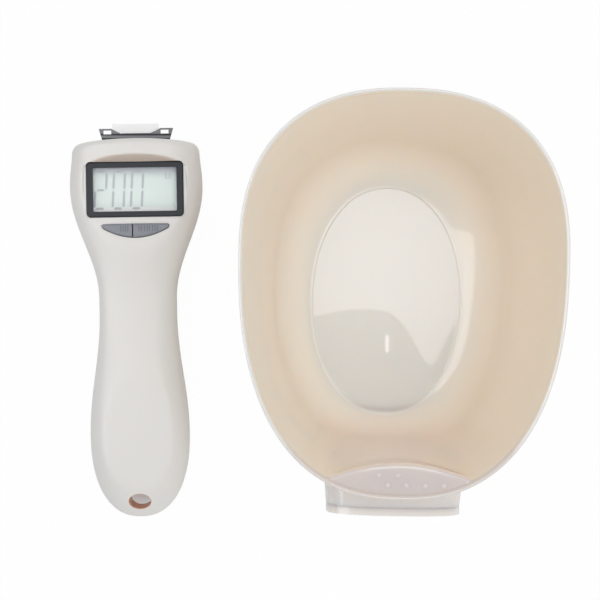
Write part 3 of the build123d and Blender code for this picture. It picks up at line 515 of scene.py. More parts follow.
class Stencil:
    """Draws masks, and colours through them, among a material's nodes."""

    tracks_per_metre: float = 320.0
    track_wander: float = 0.55
    track_edge: Point = (0.10, 0.05)

    def __init__(self, tree: bpy.types.NodeTree) -> None:
        """Keeps the nodes that are drawn among.

        Args:
            tree: The material's nodes.
        """
        self.tree = tree

    def over(
        self, under: bpy.types.NodeSocket, color: Color, mask: bpy.types.NodeSocket
    ) -> bpy.types.NodeSocket:
        """Lays a colour over another where a mask says.

        Args:
            under: The colour that is there.
            color: The colour that is laid on.
            mask: 1 where the new colour covers the old one.

        Returns:
            The mixed colour.
        """
        mix = self.tree.nodes.new("ShaderNodeMix")
        mix.data_type = "RGBA"
        mix.inputs["B"].default_value = (*color, 1.0)
        self.tree.links.new(mask, mix.inputs["Factor"])
        self.tree.links.new(under, mix.inputs["A"])
        return mix.outputs["Result"]

    def both(
        self, first: bpy.types.NodeSocket, second: bpy.types.NodeSocket
    ) -> bpy.types.NodeSocket:
        """Joins two masks to one that holds where both hold.

        Args:
            first: One mask.
            second: The other mask.

        Returns:
            The joined mask.
        """
        join = self.tree.nodes.new("ShaderNodeMath")
        join.operation = "MINIMUM"
        self.tree.links.new(first, join.inputs[0])
        self.tree.links.new(second, join.inputs[1])
        return join.outputs[0]

    def ramp(self, value: bpy.types.NodeSocket, start: float, end: float) -> bpy.types.NodeSocket:
        """Makes a mask that rises softly with a value.

        Args:
            value: The value.
            start: Value where the mask is 0.
            end: Value where it is 1, above or below start.

        Returns:
            The mask.
        """
        made = self.tree.nodes.new("ShaderNodeMapRange")
        made.interpolation_type = "SMOOTHSTEP"
        made.inputs["From Min"].default_value = start
        made.inputs["From Max"].default_value = end
        self.tree.links.new(value, made.inputs["Value"])
        return made.outputs["Result"]

    def band(self, axis: str, start: float, end: float) -> bpy.types.NodeSocket:
        """Makes a mask that rises along an axis.

        Args:
            axis: X, Y or Z of the object.
            start: Place in millimetres where the mask is 0.
            end: Place where it is 1, before or after start.

        Returns:
            The mask.
        """
        where = self.tree.nodes.new("ShaderNodeTexCoord")
        parts = self.tree.nodes.new("ShaderNodeSeparateXYZ")
        self.tree.links.new(where.outputs["Object"], parts.inputs["Vector"])
        return self.ramp(parts.outputs[axis], start * MM, end * MM)

    def oval(
        self, place: Place, middle: Point, halves: Point, span: Point, power: float = 2.0
    ) -> bpy.types.NodeSocket:
        """Makes a mask that follows an upright oval, whose own line has the value 1.

        Args:
            place: The half of the pair that the oval is on.
            middle: The oval's middle, across and along.
            halves: Half its width and half its length.
            span: Values where the mask is 0 and where it is 1.
            power: Squareness, where 2 is an ellipse.

        Returns:
            The mask.
        """
        tree = self.tree
        where = tree.nodes.new("ShaderNodeTexCoord")
        local = tree.nodes.new("ShaderNodeMapping")
        local.vector_type = "TEXTURE"
        local.inputs["Location"].default_value = place.point(*middle, 0.0)
        local.inputs["Rotation"].default_value = (0.0, 0.0, math.radians(place.turn))
        local.inputs["Scale"].default_value = (halves[0] * MM, halves[1] * MM, 1.0)
        parts = tree.nodes.new("ShaderNodeSeparateXYZ")
        total = tree.nodes.new("ShaderNodeMath")
        total.operation = "ADD"
        tree.links.new(where.outputs["Object"], local.inputs["Vector"])
        tree.links.new(local.outputs["Vector"], parts.inputs["Vector"])
        for number, axis in enumerate("XY"):
            size = tree.nodes.new("ShaderNodeMath")
            size.operation = "ABSOLUTE"
            raised = tree.nodes.new("ShaderNodeMath")
            raised.operation = "POWER"
            raised.inputs[1].default_value = power
            tree.links.new(parts.outputs[axis], size.inputs[0])
            tree.links.new(size.outputs[0], raised.inputs[0])
            tree.links.new(raised.outputs[0], total.inputs[number])
        return self.ramp(total.outputs[0], *span)

    def tracks(self) -> bpy.types.NodeSocket:
        """Makes a mask of copper tracks, as the edges of a cell pattern.

        Returns:
            The mask.
        """
        where = self.tree.nodes.new("ShaderNodeTexCoord")
        cells = self.tree.nodes.new("ShaderNodeTexVoronoi")
        cells.feature = "DISTANCE_TO_EDGE"
        cells.inputs["Scale"].default_value = self.tracks_per_metre
        cells.inputs["Randomness"].default_value = self.track_wander
        edge = self.tree.nodes.new("ShaderNodeMapRange")
        edge.inputs["From Min"].default_value = self.track_edge[0]
        edge.inputs["From Max"].default_value = self.track_edge[1]
        self.tree.links.new(where.outputs["Object"], cells.inputs["Vector"])
        self.tree.links.new(cells.outputs["Distance"], edge.inputs["Value"])
        return edge.outputs["Result"]


class Paintshop:
    """Makes one material for each finish, with what is drawn on it: print, painted light and
    painted shade.
    """

    coat_roughness: float = 0.02
    refraction: float = 1.5
    glow_colors: Color = (1.0, 0.7, 0.5)
    bump_strength: float = 0.35
    # strength of the painted glow on the bracket's tongue
    tongue_light: float = 0.22

    def __init__(self, groups: SurfaceGroups, marks: Marks) -> None:
        """Keeps what the materials share.

        Args:
            groups: The shared node groups.
            marks: Where the painted colours change.
        """
        self.groups = groups
        self.marks = marks
        self.made: dict[str, bpy.types.Material] = {}

    def material(self, finish: Finish) -> bpy.types.Material:
        """Gives the material of a finish, made on first use.

        Args:
            finish: The look that is wanted.

        Returns:
            The material.
        """
        if finish.name not in self.made:
            self.made[finish.name] = self._make(finish)
        return self.made[finish.name]

    def _make(self, finish: Finish) -> bpy.types.Material:
        """Builds a material from a finish.

        Args:
            finish: The look that is wanted.

        Returns:
            The new material.
        """
        material = bpy.data.materials.new(finish.name)
        material.use_nodes = True
        tree = material.node_tree
        shader = tree.nodes["Principled BSDF"]
        shader.inputs["Metallic"].default_value = finish.metallic
        shader.inputs["Coat Weight"].default_value = finish.coat
        shader.inputs["Coat Roughness"].default_value = self.coat_roughness
        shader.inputs["IOR"].default_value = self.refraction
        shader.inputs["Alpha"].default_value = finish.alpha
        shader.inputs["Specular IOR Level"].default_value = finish.shine
        if finish.glow:
            shader.inputs["Subsurface Weight"].default_value = finish.glow
            shader.inputs["Subsurface Scale"].default_value = finish.glow_reach * MM
            shader.inputs["Subsurface Radius"].default_value = self.glow_colors
        surface = self._surface(finish, tree)
        draw = Stencil(tree)
        color = self._painted(finish, draw, surface.outputs["Color"])
        tree.links.new(color, shader.inputs["Base Color"])
        tree.links.new(surface.outputs["Roughness"], shader.inputs["Roughness"])
        # the bracket's tongue gets a painted reflection and glow
        if finish.pattern is Pattern.BRACKET:
            self._painted_tongue_reflection(finish, draw, shader)
        if finish.grain:
            bump = tree.nodes.new("ShaderNodeBump")
            bump.inputs["Strength"].default_value = self.bump_strength
            bump.inputs["Distance"].default_value = finish.grain * MM
            tree.links.new(surface.outputs["Height"], bump.inputs["Height"])
            tree.links.new(bump.outputs["Normal"], shader.inputs["Normal"])
        return material

    def _surface(self, finish: Finish, tree: bpy.types.NodeTree) -> bpy.types.Node:
        """Adds the shared surface group with a finish's values.

        Args:
            finish: The finish.
            tree: The material's nodes.

        Returns:
            The group's node.
        """
        surface = tree.nodes.new("ShaderNodeGroup")
        brushed = finish.pattern is Pattern.BRUSHED
        surface.node_tree = self.groups.brushed if brushed else self.groups.moulded
        surface.inputs["Base"].default_value = (*finish.color, 1.0)
        surface.inputs["Tint"].default_value = (*finish.tint, 1.0)
        surface.inputs["Drift"].default_value = finish.drift
        surface.inputs["Rough"].default_value = finish.roughness
        surface.inputs["Grain"].default_value = 1.0 / (finish.grain_size * MM)
        return surface

    def _painted(
        self, finish: Finish, draw: Stencil, plain: bpy.types.NodeSocket
    ) -> bpy.types.NodeSocket:
        """Adds what is drawn on the surface over its plain colour.

        Args:
            finish: The finish, whose pattern says what is drawn.
            draw: The stencil on the material's nodes.
            plain: The plain colour.

        Returns:
            The socket that gives the final colour.
        """
        painters = {
            Pattern.PRINTED_BOARD: self._board,
            Pattern.SLEEVE: self._sleeve,
            Pattern.DISPLAY: self._display,
            Pattern.BRACKET: self._bracket,
            Pattern.SHELL: self._shell,
            Pattern.BOWL: self._bowl,
        }
        painter = painters.get(finish.pattern)
        return painter(finish, draw, plain) if painter else plain

    def _board(
        self, finish: Finish, draw: Stencil, plain: bpy.types.NodeSocket
    ) -> bpy.types.NodeSocket:
        """Draws the board's copper tracks over its plain colour."""
        return draw.over(plain, finish.accent, draw.tracks())

    def _sleeve(
        self, finish: Finish, draw: Stencil, plain: bpy.types.NodeSocket
    ) -> bpy.types.NodeSocket:
        """Draws the coloured end of a battery's sleeve over its plain colour."""
        return draw.over(plain, finish.accent, draw.band("Y", *self.marks.sleeve_end))

    def _display(
        self, finish: Finish, draw: Stencil, plain: bpy.types.NodeSocket
    ) -> bpy.types.NodeSocket:
        """Shades the display's upper edge and lights its lower one."""
        # painted shade under the upper edge
        shaded = draw.over(plain, finish.accent, draw.band("Y", *self.marks.display_shade))
        # painted highlight on the lower edge
        return draw.over(shaded, finish.edge, draw.band("Y", *self.marks.display_light))

    def _bracket(
        self, finish: Finish, draw: Stencil, plain: bpy.types.NodeSocket
    ) -> bpy.types.NodeSocket:
        """Paints shade into the bracket's two folds and a painted reflection on its tongue.

        Args:
            finish: The bracket's finish.
            draw: The stencil on the material's nodes.
            plain: The plain colour.

        Returns:
            The final colour.
        """
        start, end = self.marks.fold_edge
        color = plain
        for middle in self.marks.folds:
            above = draw.band("Y", middle - start, middle - end)
            below = draw.band("Y", middle + start, middle + end)
            # painted shade in each fold
            color = draw.over(color, finish.edge, draw.both(above, below))
        # painted reflection on the tongue
        return draw.over(color, finish.accent, draw.band("Z", *self.marks.tongue))

    def _painted_tongue_reflection(self, finish: Finish, draw: Stencil, shader: bpy.types.Node) -> None:
        """Paints a reflection onto the bracket's tongue: a pale plain surface instead of bare
        metal, with a faint glow.

        Args:
            finish: The bracket's finish.
            draw: The stencil on the material's nodes.
            shader: The material's shader.
        """
        links = draw.tree.links
        links.new(draw.band("Z", *reversed(self.marks.tongue)), shader.inputs["Metallic"])
        dark = draw.tree.nodes.new("ShaderNodeRGB")
        dark.outputs[0].default_value = (0.0, 0.0, 0.0, 1.0)
        tongue = draw.band("Z", *self.marks.tongue)
        light = draw.over(dark.outputs[0], finish.accent, tongue)
        links.new(light, shader.inputs["Emission Color"])
        shader.inputs["Emission Strength"].default_value = self.tongue_light

    def _shell(
        self, finish: Finish, draw: Stencil, plain: bpy.types.NodeSocket
    ) -> bpy.types.NodeSocket:
        """Paints shade on the hood over the display and warm shade on the wall of the hang hole.

        Args:
            finish: The shells' finish.
            draw: The stencil on the material's nodes.
            plain: The plain colour.

        Returns:
            The final colour.
        """
        marks = self.marks
        # painted shade on the hood over the display
        hood = draw.oval(HANDLE_PLACE, marks.hood_at, marks.hood, marks.hood_edge)
        # painted warm shade on the hang hole's wall
        hole = draw.oval(HANDLE_PLACE, HANG_HOLE_AT, HANG_HOLE, marks.hole_edge)
        return draw.over(draw.over(plain, finish.edge, hood), finish.accent, hole)

    def _bowl(
        self, finish: Finish, draw: Stencil, plain: bpy.types.NodeSocket
    ) -> bpy.types.NodeSocket:
        """Paints light and shade on the bowl's zones: a glow on the lower wall, a highlight on
        the rim, shade on the shelf and a highlight line round the floor; the collar gets its own
        colour.

        Args:
            finish: The bowl's finish.
            draw: The stencil on the material's nodes.
            plain: The plain colour.

        Returns:
            The final colour.
        """
        marks = self.marks
        oval = (BOWL_PLACE, FLOOR_AT, FLOOR)
        # mask of the painted highlight line round the floor
        outside = draw.oval(*oval, marks.painted_highlight_outer, FLOOR_POWER)
        inside = draw.oval(*oval, marks.painted_highlight_inner, FLOOR_POWER)
        line = draw.both(outside, inside)
        zones = (
            # painted glow on the lower wall
            (finish.painted_glow, draw.band("Z", *marks.painted_glow)),
            # painted highlight on the rim
            (finish.edge, draw.band("Z", *marks.rim)),
            # painted shade on the shelf
            (
                finish.accent,
                draw.both(draw.band("Y", *marks.shelf_back), draw.band("Z", *marks.shelf_level)),
            ),
            # painted highlight line round the floor
            (finish.line, draw.both(line, draw.band("Y", *marks.painted_highlight_front))),
            (
                finish.socket,
                draw.both(draw.band("Y", *marks.socket_back), draw.band("Z", *marks.socket_top)),
            ),
        )
        color = plain
        for tone, mask in zones:
            color = draw.over(color, tone, mask)
        return color


def ease(low: float, high: float, place: float, start: float, finish: float) -> float:
    """Changes smoothly from low to high as place goes from start to finish."""
    share = min(max((place - start) / (finish - start), 0.0), 1.0)
    return low + (high - low) * (1 - math.cos(math.pi * share)) / 2


def soft_min(a: float, b: float, blend: float) -> float:
    """Gives the smaller of two heights, rounded where they meet."""
    near = max(blend - abs(a - b), 0.0) / blend
    return min(a, b) - near * near * blend / 4


def soft_max(a: float, b: float, blend: float) -> float:
    """Gives the larger of two heights, rounded where they meet."""
    return -soft_min(-a, -b, blend)


def egg_point(half_width: float, front: float, rear: float, power: float, turn: float) -> Point:
    """Gives a point of an outline whose two ends reach different lengths.

    Args:
        half_width: Half the outline's width.
        front: Reach from the widest line forwards.
        rear: Reach from the widest line backwards.
        power: Squareness, where 2 is an ellipse.
        turn: Angle round the outline.

    Returns:
        The point across and along.
    """
    c, s = math.cos(turn), math.sin(turn)
    reach = front if s > 0 else rear
    x = math.copysign(half_width * abs(c) ** (2 / power), c)
    y = math.copysign(reach * abs(s) ** (2 / power), s)
    return x, y


@dataclass(frozen=True)
class Egg:
    """An egg-shaped outline.

    Attributes:
        half_width: Half its width.
        front: Reach from the widest line forwards.
        rear: Reach from the widest line backwards.
        widest: Place of the widest line along the bowl.
        power: Squareness, where 2 is an ellipse.
    """

    half_width: float
    front: float
    rear: float
    widest: float
    power: float

    def shrunk(self, inset: float) -> Egg:
        """Draws the outline in.

        Args:
            inset: How far.

        Returns:
            The smaller outline.
        """
        return replace(
            self,
            half_width=self.half_width - inset,
            front=self.front - inset,
            rear=self.rear - inset,
        )

    def point(self, turn: float) -> Point:
        """Gives the outline's point at an angle, across and along."""
        u, v = egg_point(self.half_width, self.front, self.rear, self.power, turn)
        return u, v + self.widest


class Draft:
    """A mesh that is being drawn."""

    def __init__(self) -> None:
        """Starts empty."""
        self.points: list[Vector] = []
        self.faces: list[tuple[int, ...]] = []

    def loop(self, points: list[Vector]) -> list[int]:
        """Adds a row of points.

        Args:
            points: The points.

        Returns:
            Their numbers.
        """
        first = len(self.points)
        self.points.extend(points)
        return list(range(first, len(self.points)))

    def bridge(self, low: list[int], high: list[int], closed: bool = True) -> None:
        """Joins two rows of equal length with quads.

        Args:
            low: The first row.
            high: The second row.
            closed: True where each row is a ring.
        """
        count = len(low)
        for step in range(count if closed else count - 1):
            after = (step + 1) % count
            self.faces.append((low[step], low[after], high[after], high[step]))

    def cap(self, ring: list[int], middle: Vector) -> None:
        """Closes a ring with a fan.

        Args:
            ring: The ring's points.
            middle: The point that the fan turns round.
        """
        centre = self.loop([middle])[0]
        for step in range(len(ring)):
            self.faces.append((ring[step], ring[(step + 1) % len(ring)], centre))

    def flat_cap(self, ring: list[int]) -> None:
        """Closes a ring with one face."""
        self.faces.append(tuple(ring))

    def strip_cap(self, ring: list[int]) -> None:
        """Closes a ring with a strip of quads from its open side to its tip.

        Args:
            ring: The ring's points, whose first half lies opposite its second half.
        """
        last = len(ring) - 1
        tip = last // 2
        for step in range(tip - 1):
            back = last - step
            self.faces.append((ring[step], ring[step + 1], ring[back - 1], ring[back]))
        self.faces.append((ring[tip - 1], ring[tip], ring[tip + 1]))

    def slab(self, place: Place, outline: list[Point], low: float, high: float) -> None:
        """Adds a flat closed slab.

        Args:
            place: The half of the pair that it is on.
            outline: Its outline, across and along.
            low: Height of its lower face.
            high: Height of its upper face.
        """
        under = self.loop([place.point(u, v, low) for u, v in outline])
        over = self.loop([place.point(u, v, high) for u, v in outline])
        self.bridge(under, over)
        self.flat_cap(under)
        self.flat_cap(over)

    def object(self, name: str) -> bpy.types.Object:
        """Turns the draft into an object with its normals pointing outwards.

        Args:
            name: Name of the object.

        Returns:
            The object, linked into the scene.
        """
        mesh = bpy.data.meshes.new(name)
        mesh.from_pydata([tuple(point) for point in self.points], [], self.faces)
        shape = bmesh.new()
        shape.from_mesh(mesh)
        bmesh.ops.remove_doubles(shape, verts=shape.verts, dist=2e-6)
        bmesh.ops.recalc_face_normals(shape, faces=shape.faces)
        shape.to_mesh(mesh)
        shape.free()
        made = bpy.data.objects.new(name, mesh)
        bpy.context.scene.collection.objects.link(made)
        return made


def smooth(shape: bpy.types.Object, angle: float = 32.0) -> None:
    """Shades an object smooth, with edges sharper than an angle left crisp."""
    shape.data.shade_smooth()
    shape.data.set_sharp_from_angle(angle=math.radians(angle))


class Joinery:
    """Cuts and joins closed meshes."""

    @staticmethod
    def apply(target: bpy.types.Object, tool: bpy.types.Object, operation: str) -> None:
        """Cuts a tool from a target, or joins it on, and deletes the tool.

        Args:
            target: The object that is changed.
            tool: The closed mesh that cuts or joins.
            operation: DIFFERENCE, UNION or INTERSECT.
        """
        modifier = target.modifiers.new("joint", "BOOLEAN")
        modifier.operation = operation
        modifier.object = tool
        modifier.solver = "MANIFOLD"
        graph = bpy.context.evaluated_depsgraph_get()
        result = bpy.data.meshes.new_from_object(target.evaluated_get(graph))
        target.modifiers.remove(modifier)
        old = target.data
        if len(result.polygons) == 0:
            raise RuntimeError(f"{operation} of {tool.name} left nothing of {target.name}")
        name = old.name
        target.data = result
        bpy.data.meshes.remove(old)
        result.name = name
        bpy.data.objects.remove(tool)

    @staticmethod
    def prism(
        name: str, place: Place, outline: list[Point], low: float, high: float
    ) -> bpy.types.Object:
        """Makes an upright prism from an outline across and along.

        Args:
            name: Name of the object.
            place: The half of the pair that it stands on.
            outline: Its outline.
            low: Height of its lower face.
            high: Height of its upper face.

        Returns:
            The prism.
        """
        draft = Draft()
        draft.slab(place, outline, low, high)
        return draft.object(name)


def box_outline(
    across: float, along: float, middle: Point, corner: float = 0.0, steps: int = 6
) -> list[Point]:
    """Draws a rectangle with round corners.

    Args:
        across: Its width.
        along: Its length.
        middle: Its middle.
        corner: Radius of its corners.
        steps: Points on each corner.

    Returns:
        The outline.
    """
    points = []
    for number, (sx, sy) in enumerate(((1, 1), (-1, 1), (-1, -1), (1, -1))):
        cx = middle[0] + sx * (across / 2 - corner)
        cy = middle[1] + sy * (along / 2 - corner)
        for step in range(steps + 1 if corner else 1):
            turn = math.pi / 2 * (number + (step / steps if corner else 0))
            points.append((cx + corner * math.cos(turn), cy + corner * math.sin(turn)))
    return points


def ellipse_outline(half_across: float, half_along: float, middle: Point) -> list[Point]:
    """Draws an ellipse as 48 points.

    Args:
        half_across: Half its width.
        half_along: Half its length.
        middle: Its middle.

    Returns:
        The outline.
    """
    turns = [math.tau * step / 48 for step in range(48)]
    return [
        (middle[0] + half_across * math.cos(turn), middle[1] + half_along * math.sin(turn))
        for turn in turns
    ]


@dataclass(frozen=True)
class Piece:
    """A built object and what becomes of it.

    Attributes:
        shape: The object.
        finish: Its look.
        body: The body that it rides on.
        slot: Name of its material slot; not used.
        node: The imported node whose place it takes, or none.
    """

    shape: bpy.types.Object
    finish: Finish
    body: Body
    slot: str
    node: str | None = None

    def dress(self, paint: Paintshop) -> None:
        """Gives the object its material and its body, hides the node whose place it takes, and
        reports it.

        The empty slots that cutting leaves on a mesh are cleared first.

        Args:
            paint: The shop that gives the materials.
        """
        mesh = self.shape.data
        mesh.materials.clear()
        mesh.materials.append(paint.material(self.finish))
        if self.node:
            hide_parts(self.node)
        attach(self.shape, self.body.value)
        LOG.info("%s: %s, %d faces", self.shape.name, self.finish.name, len(mesh.polygons))


@dataclass
class SubAssembly:
    """Pieces that belong together on one half of the pair.

    Attributes:
        place: The half that they are on.
        paint: The shop that gives their materials.
        pieces: The pieces, once they are built.
    """

    place: Place
    paint: Paintshop
    pieces: list[Piece] = field(default_factory=list, init=False)

    def build(self) -> None:
        """Makes the meshes of every piece."""
        raise NotImplementedError

    def dress(self) -> None:
        """Gives every piece its material and its body."""
        for piece in self.pieces:
            piece.dress(self.paint)


@dataclass
class Handle(SubAssembly):
    """The handle's two shells, drawn from the sizes that the solids have."""

    face_width: float = 45.8
    head_width: float = 47.8
    head_at: float = 16.0
    waist_width: float = 28.0
    waist: Point = (56.0, 62.0)
    grip_width: float = 35.8
    grip_at: float = 105.0
    length: float = 134.9
    end_power: float = 2.3
    section_power: float = 2.8
    grip_power: float = 2.25
    grip_from: Point = (44.0, 78.0)
    parting: float = 12.0
    tops: tuple[float, float, float] = (23.6, 18.6, 22.6)
    sinks: tuple[float, float] = (0.6, 1.2)
    wall: float = 2.0
    face_round: float = 2.2
    face_bulge: float = 0.8
    corner_round: float = 3.4
    corner_share: float = 0.8
    corner_steps: int = 14
    head_bow: float = 1.6
    bow_reach: float = 12.0
    facet_height: float = 20.4
    facet_half_width: float = 18.2
    facet_end: float = 9.0
    facet_arch: float = 1.8
    facet_slope: float = 1.43
    facet_under: float = 18.4
    pocket_reach: float = 2.0
    pocket_blend: float = 0.5
    base_reach: float = 1.5
    base_blend: float = 0.3
    hole_wall: float = 1.5
    boss_heights: Point = (-5.0, 30.0)
    bezel_at: float = -17.3
    bezel: Point = (34.8, 19.8)
    bezel_corner: float = 1.6
    bezel_bed: float = 19.6
    bezel_hole: Point = (33.0, 18.0)
    key_gap: Point = (0.14, 0.09)
    above: float = 30.0
    below: float = -1.0
    inside: float = 15.0
    slot_half: float = 12.9
    slot_along: Point = (-4.2, 1.0)
    slot_heights: Point = (8.7, 13.0)
    door: Point = (20.3, 46.3)
    door_at: float = -92.85
    door_top: float = 4.2
    wells: tuple[Point, ...] = ((-13.5, -34.0), (13.5, -34.0), (-8.6, -122.0), (8.6, -122.0))
    well: Point = (2.1, 5.6)
    around: int = 192
    fineness: Point = (0.5, 1.6)
    fine_to: float = 44.0
    coarsening: float = 2.2
    tail_steps: tuple[int, int] = (26, 10)
    tail_turn: float = 88.5

    def half_width(self, along: float) -> float:
        """Gives half the handle's width.

        Args:
            along: Distance from the head's end.

        Returns:
            Half the width there.
        """
        if along < self.head_at:
            return ease(self.face_width, self.head_width, along, 0, self.head_at) / 2
        if along < self.waist[1]:
            return ease(self.head_width, self.waist_width, along, self.head_at, self.waist[0]) / 2
        return ease(self.waist_width, self.grip_width, along, self.waist[1], self.grip_at) / 2

    def rise(self, along: float) -> float:
        """Gives the top's height above the parting line.

        Args:
            along: Distance from the head's end.

        Returns:
            The height there.
        """
        middle = sum(self.waist) / 2
        head, waist, grip = self.tops
        if along < middle:
            return ease(head, waist, along, self.head_at / 2, middle) - self.parting
        return ease(waist, grip, along, middle, self.grip_at) - self.parting

    def fall(self, along: float) -> float:
        """Gives the underside's depth below the parting line.

        Args:
            along: Distance from the head's end.

        Returns:
            The depth there.
        """
        middle = sum(self.waist) / 2
        sink, lift = self.sinks
        if along < middle:
            return self.parting + ease(sink, -lift, along, self.head_at, middle)
        return self.parting + ease(-lift, sink, along, middle, self.grip_at * 0.7)

    def squareness(self, along: float, upper: bool) -> float:
        """Gives the section's squareness, which eases off towards the top of the grip.

        Args:
            along: Distance from the head's end.
            upper: True over the parting line.

        Returns:
            The squareness, where 2 is an ellipse.
        """
        if not upper:
            return self.section_power
        return ease(self.section_power, self.grip_power, along, *self.grip_from)

    def pocket(self, across: float, along: float, floor: float) -> float:
        """Gives the height of the pocket round the display.

        Args:
            across: Place across the handle.
            along: Distance from the head's end.
            floor: Height of the pocket's flat floor.

        Returns:
            The height, which rises steeply outside the pocket's outline.
        """
        share = min(abs(across) / self.facet_half_width, 1.0)
        top = self.facet_end - self.facet_arch * (1 - share * share)
        beside = max(abs(across) - self.facet_half_width, 0.0)
        outside = math.hypot(beside, max(top - along, 0.0))
        return floor + outside * self.facet_slope

    def stations(self, inset: float, fineness: float) -> list[tuple[float, float, float, float]]:
        """Lists the places where the section is drawn.

        Args:
            inset: How far the form is drawn in.
            fineness: Spacing near the head.

        Returns:
            For each place its distance from the head's end, the tail's narrowing, and how
            much the head's rounded end narrows the width and the height.
        """
        found = []
        start = inset - self.face_bulge
        if inset == 0:
            for step in range(self.corner_steps):
                turn = math.pi / 2 * step / self.corner_steps
                depth = self.corner_round * (1 - math.cos(turn))
                width_loss = self.corner_round * (1 - math.sin(turn)) * self.corner_share
                share = min(depth / self.face_round, 1.0)
                height_loss = self.face_round * (1 - math.sqrt(1 - (1 - share) ** 2))
                found.append((start + depth, 1.0, width_loss, height_loss))
        along = start + self.corner_round if inset == 0 else start
        while along < self.grip_at:
            found.append((along, 1.0, 0.0, 0.0))
            along += fineness if along < self.fine_to else fineness * self.coarsening
        steps = self.tail_steps[0] if inset == 0 else self.tail_steps[1]
        for step in range(steps):
            angle = math.radians(self.tail_turn) * step / (steps - 1)
            reach = math.sin(angle)
            cap = (1 - reach**self.end_power) ** (1 / self.end_power)
            place = self.grip_at + (self.length - self.grip_at - inset) * reach
            found.append((place, cap, 0.0, 0.0))
        return found

    def half_body(
        self, name: str, upper: bool, inset: float, fineness: float, points: int
    ) -> Draft:
        """Draws the closed half of the handle over or under the parting line.

        Args:
            name: Name used in messages.
            upper: True for the half over the line.
            inset: How far it is drawn in; above 0 it also passes the line a little.
            fineness: Spacing of its sections near the head.
            points: Points on each half section.

        Returns:
            The draft of the closed half.
        """
        draft = Draft()
        sign = 1.0 if upper else -1.0
        beyond = 0.0 if inset == 0 else -1.0
        floor = self.facet_height if inset == 0 else self.facet_under
        rows = []
        for along, cap, width_loss, height_loss in self.stations(inset, fineness):
            place = min(along, self.grip_at)
            half = (self.half_width(place) - inset) * cap - width_loss
            tall = (self.rise(place) if upper else self.fall(place)) - inset
            tall = tall * cap - height_loss
            power = self.squareness(along, upper)
            row = []
            for step in range(points + 1):
                turn = math.pi * step / points
                u, h = egg_point(half, tall, tall, power, turn)
                z = self.parting + sign * max(h, 0.0)
                if upper and z > floor - self.pocket_reach:
                    z = soft_min(z, self.pocket(u, along, floor), self.pocket_blend)
                if not upper:
                    if z < self.base_reach + inset:
                        base = 0.0 if inset == 0 else self.wall
                        z = soft_max(z, base, self.base_blend)
                    z = max(z, 0.0)
                if step in (0, points):
                    z = self.parting + sign * beyond
                bow = self.head_bow * (u / self.half_width(0)) ** 2
                bow *= min(max(1 - (along + self.face_bulge) / self.bow_reach, 0.0), 1.0)
                row.append(self.place.point(u, -along - bow, z))
            rows.append(draft.loop(row))
        for low, high in zip(rows, rows[1:]):
            draft.bridge(low, high)
        draft.flat_cap(rows[0])
        draft.flat_cap(rows[-1])
        LOG.info("%s: %d sections of %d points", name, len(rows), points + 1)
        return draft

    def shell(self, name: str, upper: bool) -> bpy.types.Object:
        """Makes one shell as a closed wall, without its openings.

        Args:
            name: Name of the shell.
            upper: True for the front shell.

        Returns:
            The shell.
        """
        fine, coarse = self.fineness
        made = self.half_body(name, upper, 0.0, fine, self.around // 2).object(name)
        inner = self.half_body(name + "_hollow", upper, self.wall, coarse, self.around // 4)
        hollow = inner.object("hollow")
        across, along = (size + self.hole_wall for size in HANG_HOLE)
        outline = ellipse_outline(across, along, HANG_HOLE_AT)
        boss = Joinery.prism("boss", self.place, outline, *self.boss_heights)
        Joinery.apply(hollow, boss, "DIFFERENCE")
        Joinery.apply(made, hollow, "DIFFERENCE")
        return made

    def cut(
        self,
        shell: bpy.types.Object,
        openings: list[tuple[str, list[Point], float, float]],
    ) -> None:
        """Cuts a shell's openings.

        Args:
            shell: The shell.
            openings: For each opening its name, its outline and its two heights.
        """
        for label, outline, low, high in openings:
            tool = Joinery.prism(label, self.place, outline, low, high)
            Joinery.apply(shell, tool, "DIFFERENCE")
        smooth(shell)

    def front_openings(self) -> list[tuple[str, list[Point], float, float]]:
        """Lists the front shell's openings.

        Returns:
            The name, outline and heights of each opening.
        """
        middle = (0, self.bezel_at)
        recess = box_outline(*self.bezel, middle, self.bezel_corner)
        hang_hole = ellipse_outline(*HANG_HOLE, HANG_HOLE_AT)
        return [
            ("bezel_recess", recess, self.bezel_bed, self.above),
            ("bezel_hole", box_outline(*self.bezel_hole, middle), self.inside, self.above),
            ("key_hole", self.key_opening(), self.inside, self.above),
            ("hang_hole", hang_hole, 5.0, self.above),
        ]

    def rear_openings(self) -> list[tuple[str, list[Point], float, float]]:
        """Lists the rear shell's openings.

        Returns:
            The name, outline and heights of each opening.
        """
        half, (near, far) = self.slot_half, self.slot_along
        slot = [(-half, near), (half, near), (half, far), (-half, far)]
        door = box_outline(*self.door, (0, self.door_at))
        hang_hole = ellipse_outline(*HANG_HOLE, HANG_HOLE_AT)
        radius, depth = self.well
        openings = [
            ("bracket_slot", slot, *self.slot_heights),
            ("door_opening", door, self.below, self.door_top),
            ("hang_hole", hang_hole, self.below, self.slot_heights[1]),
        ]
        for well in self.wells:
            outline = ellipse_outline(radius, radius, well)
            openings.append(("screw_well", outline, self.below, depth))
        return openings

    def key_opening(self) -> list[Point]:
        """Draws the opening that the keys stand in, with most of its gap below them."""
        growth, drop = self.key_gap
        return [(u, v - Keys.along - drop) for u, v in Lens().outline(growth)]

    def build(self) -> None:
        """Makes both shells with every opening."""
        front = self.shell("front_shell_skin", True)
        self.cut(front, self.front_openings())
        rear = self.shell("rear_shell_skin", False)
        self.cut(rear, self.rear_openings())
        for shape, node in ((front, "front_shell"), (rear, "rear_shell")):
            self.pieces.append(Piece(shape, SHELL, Body.HANDLE, "shell_plastic", node))


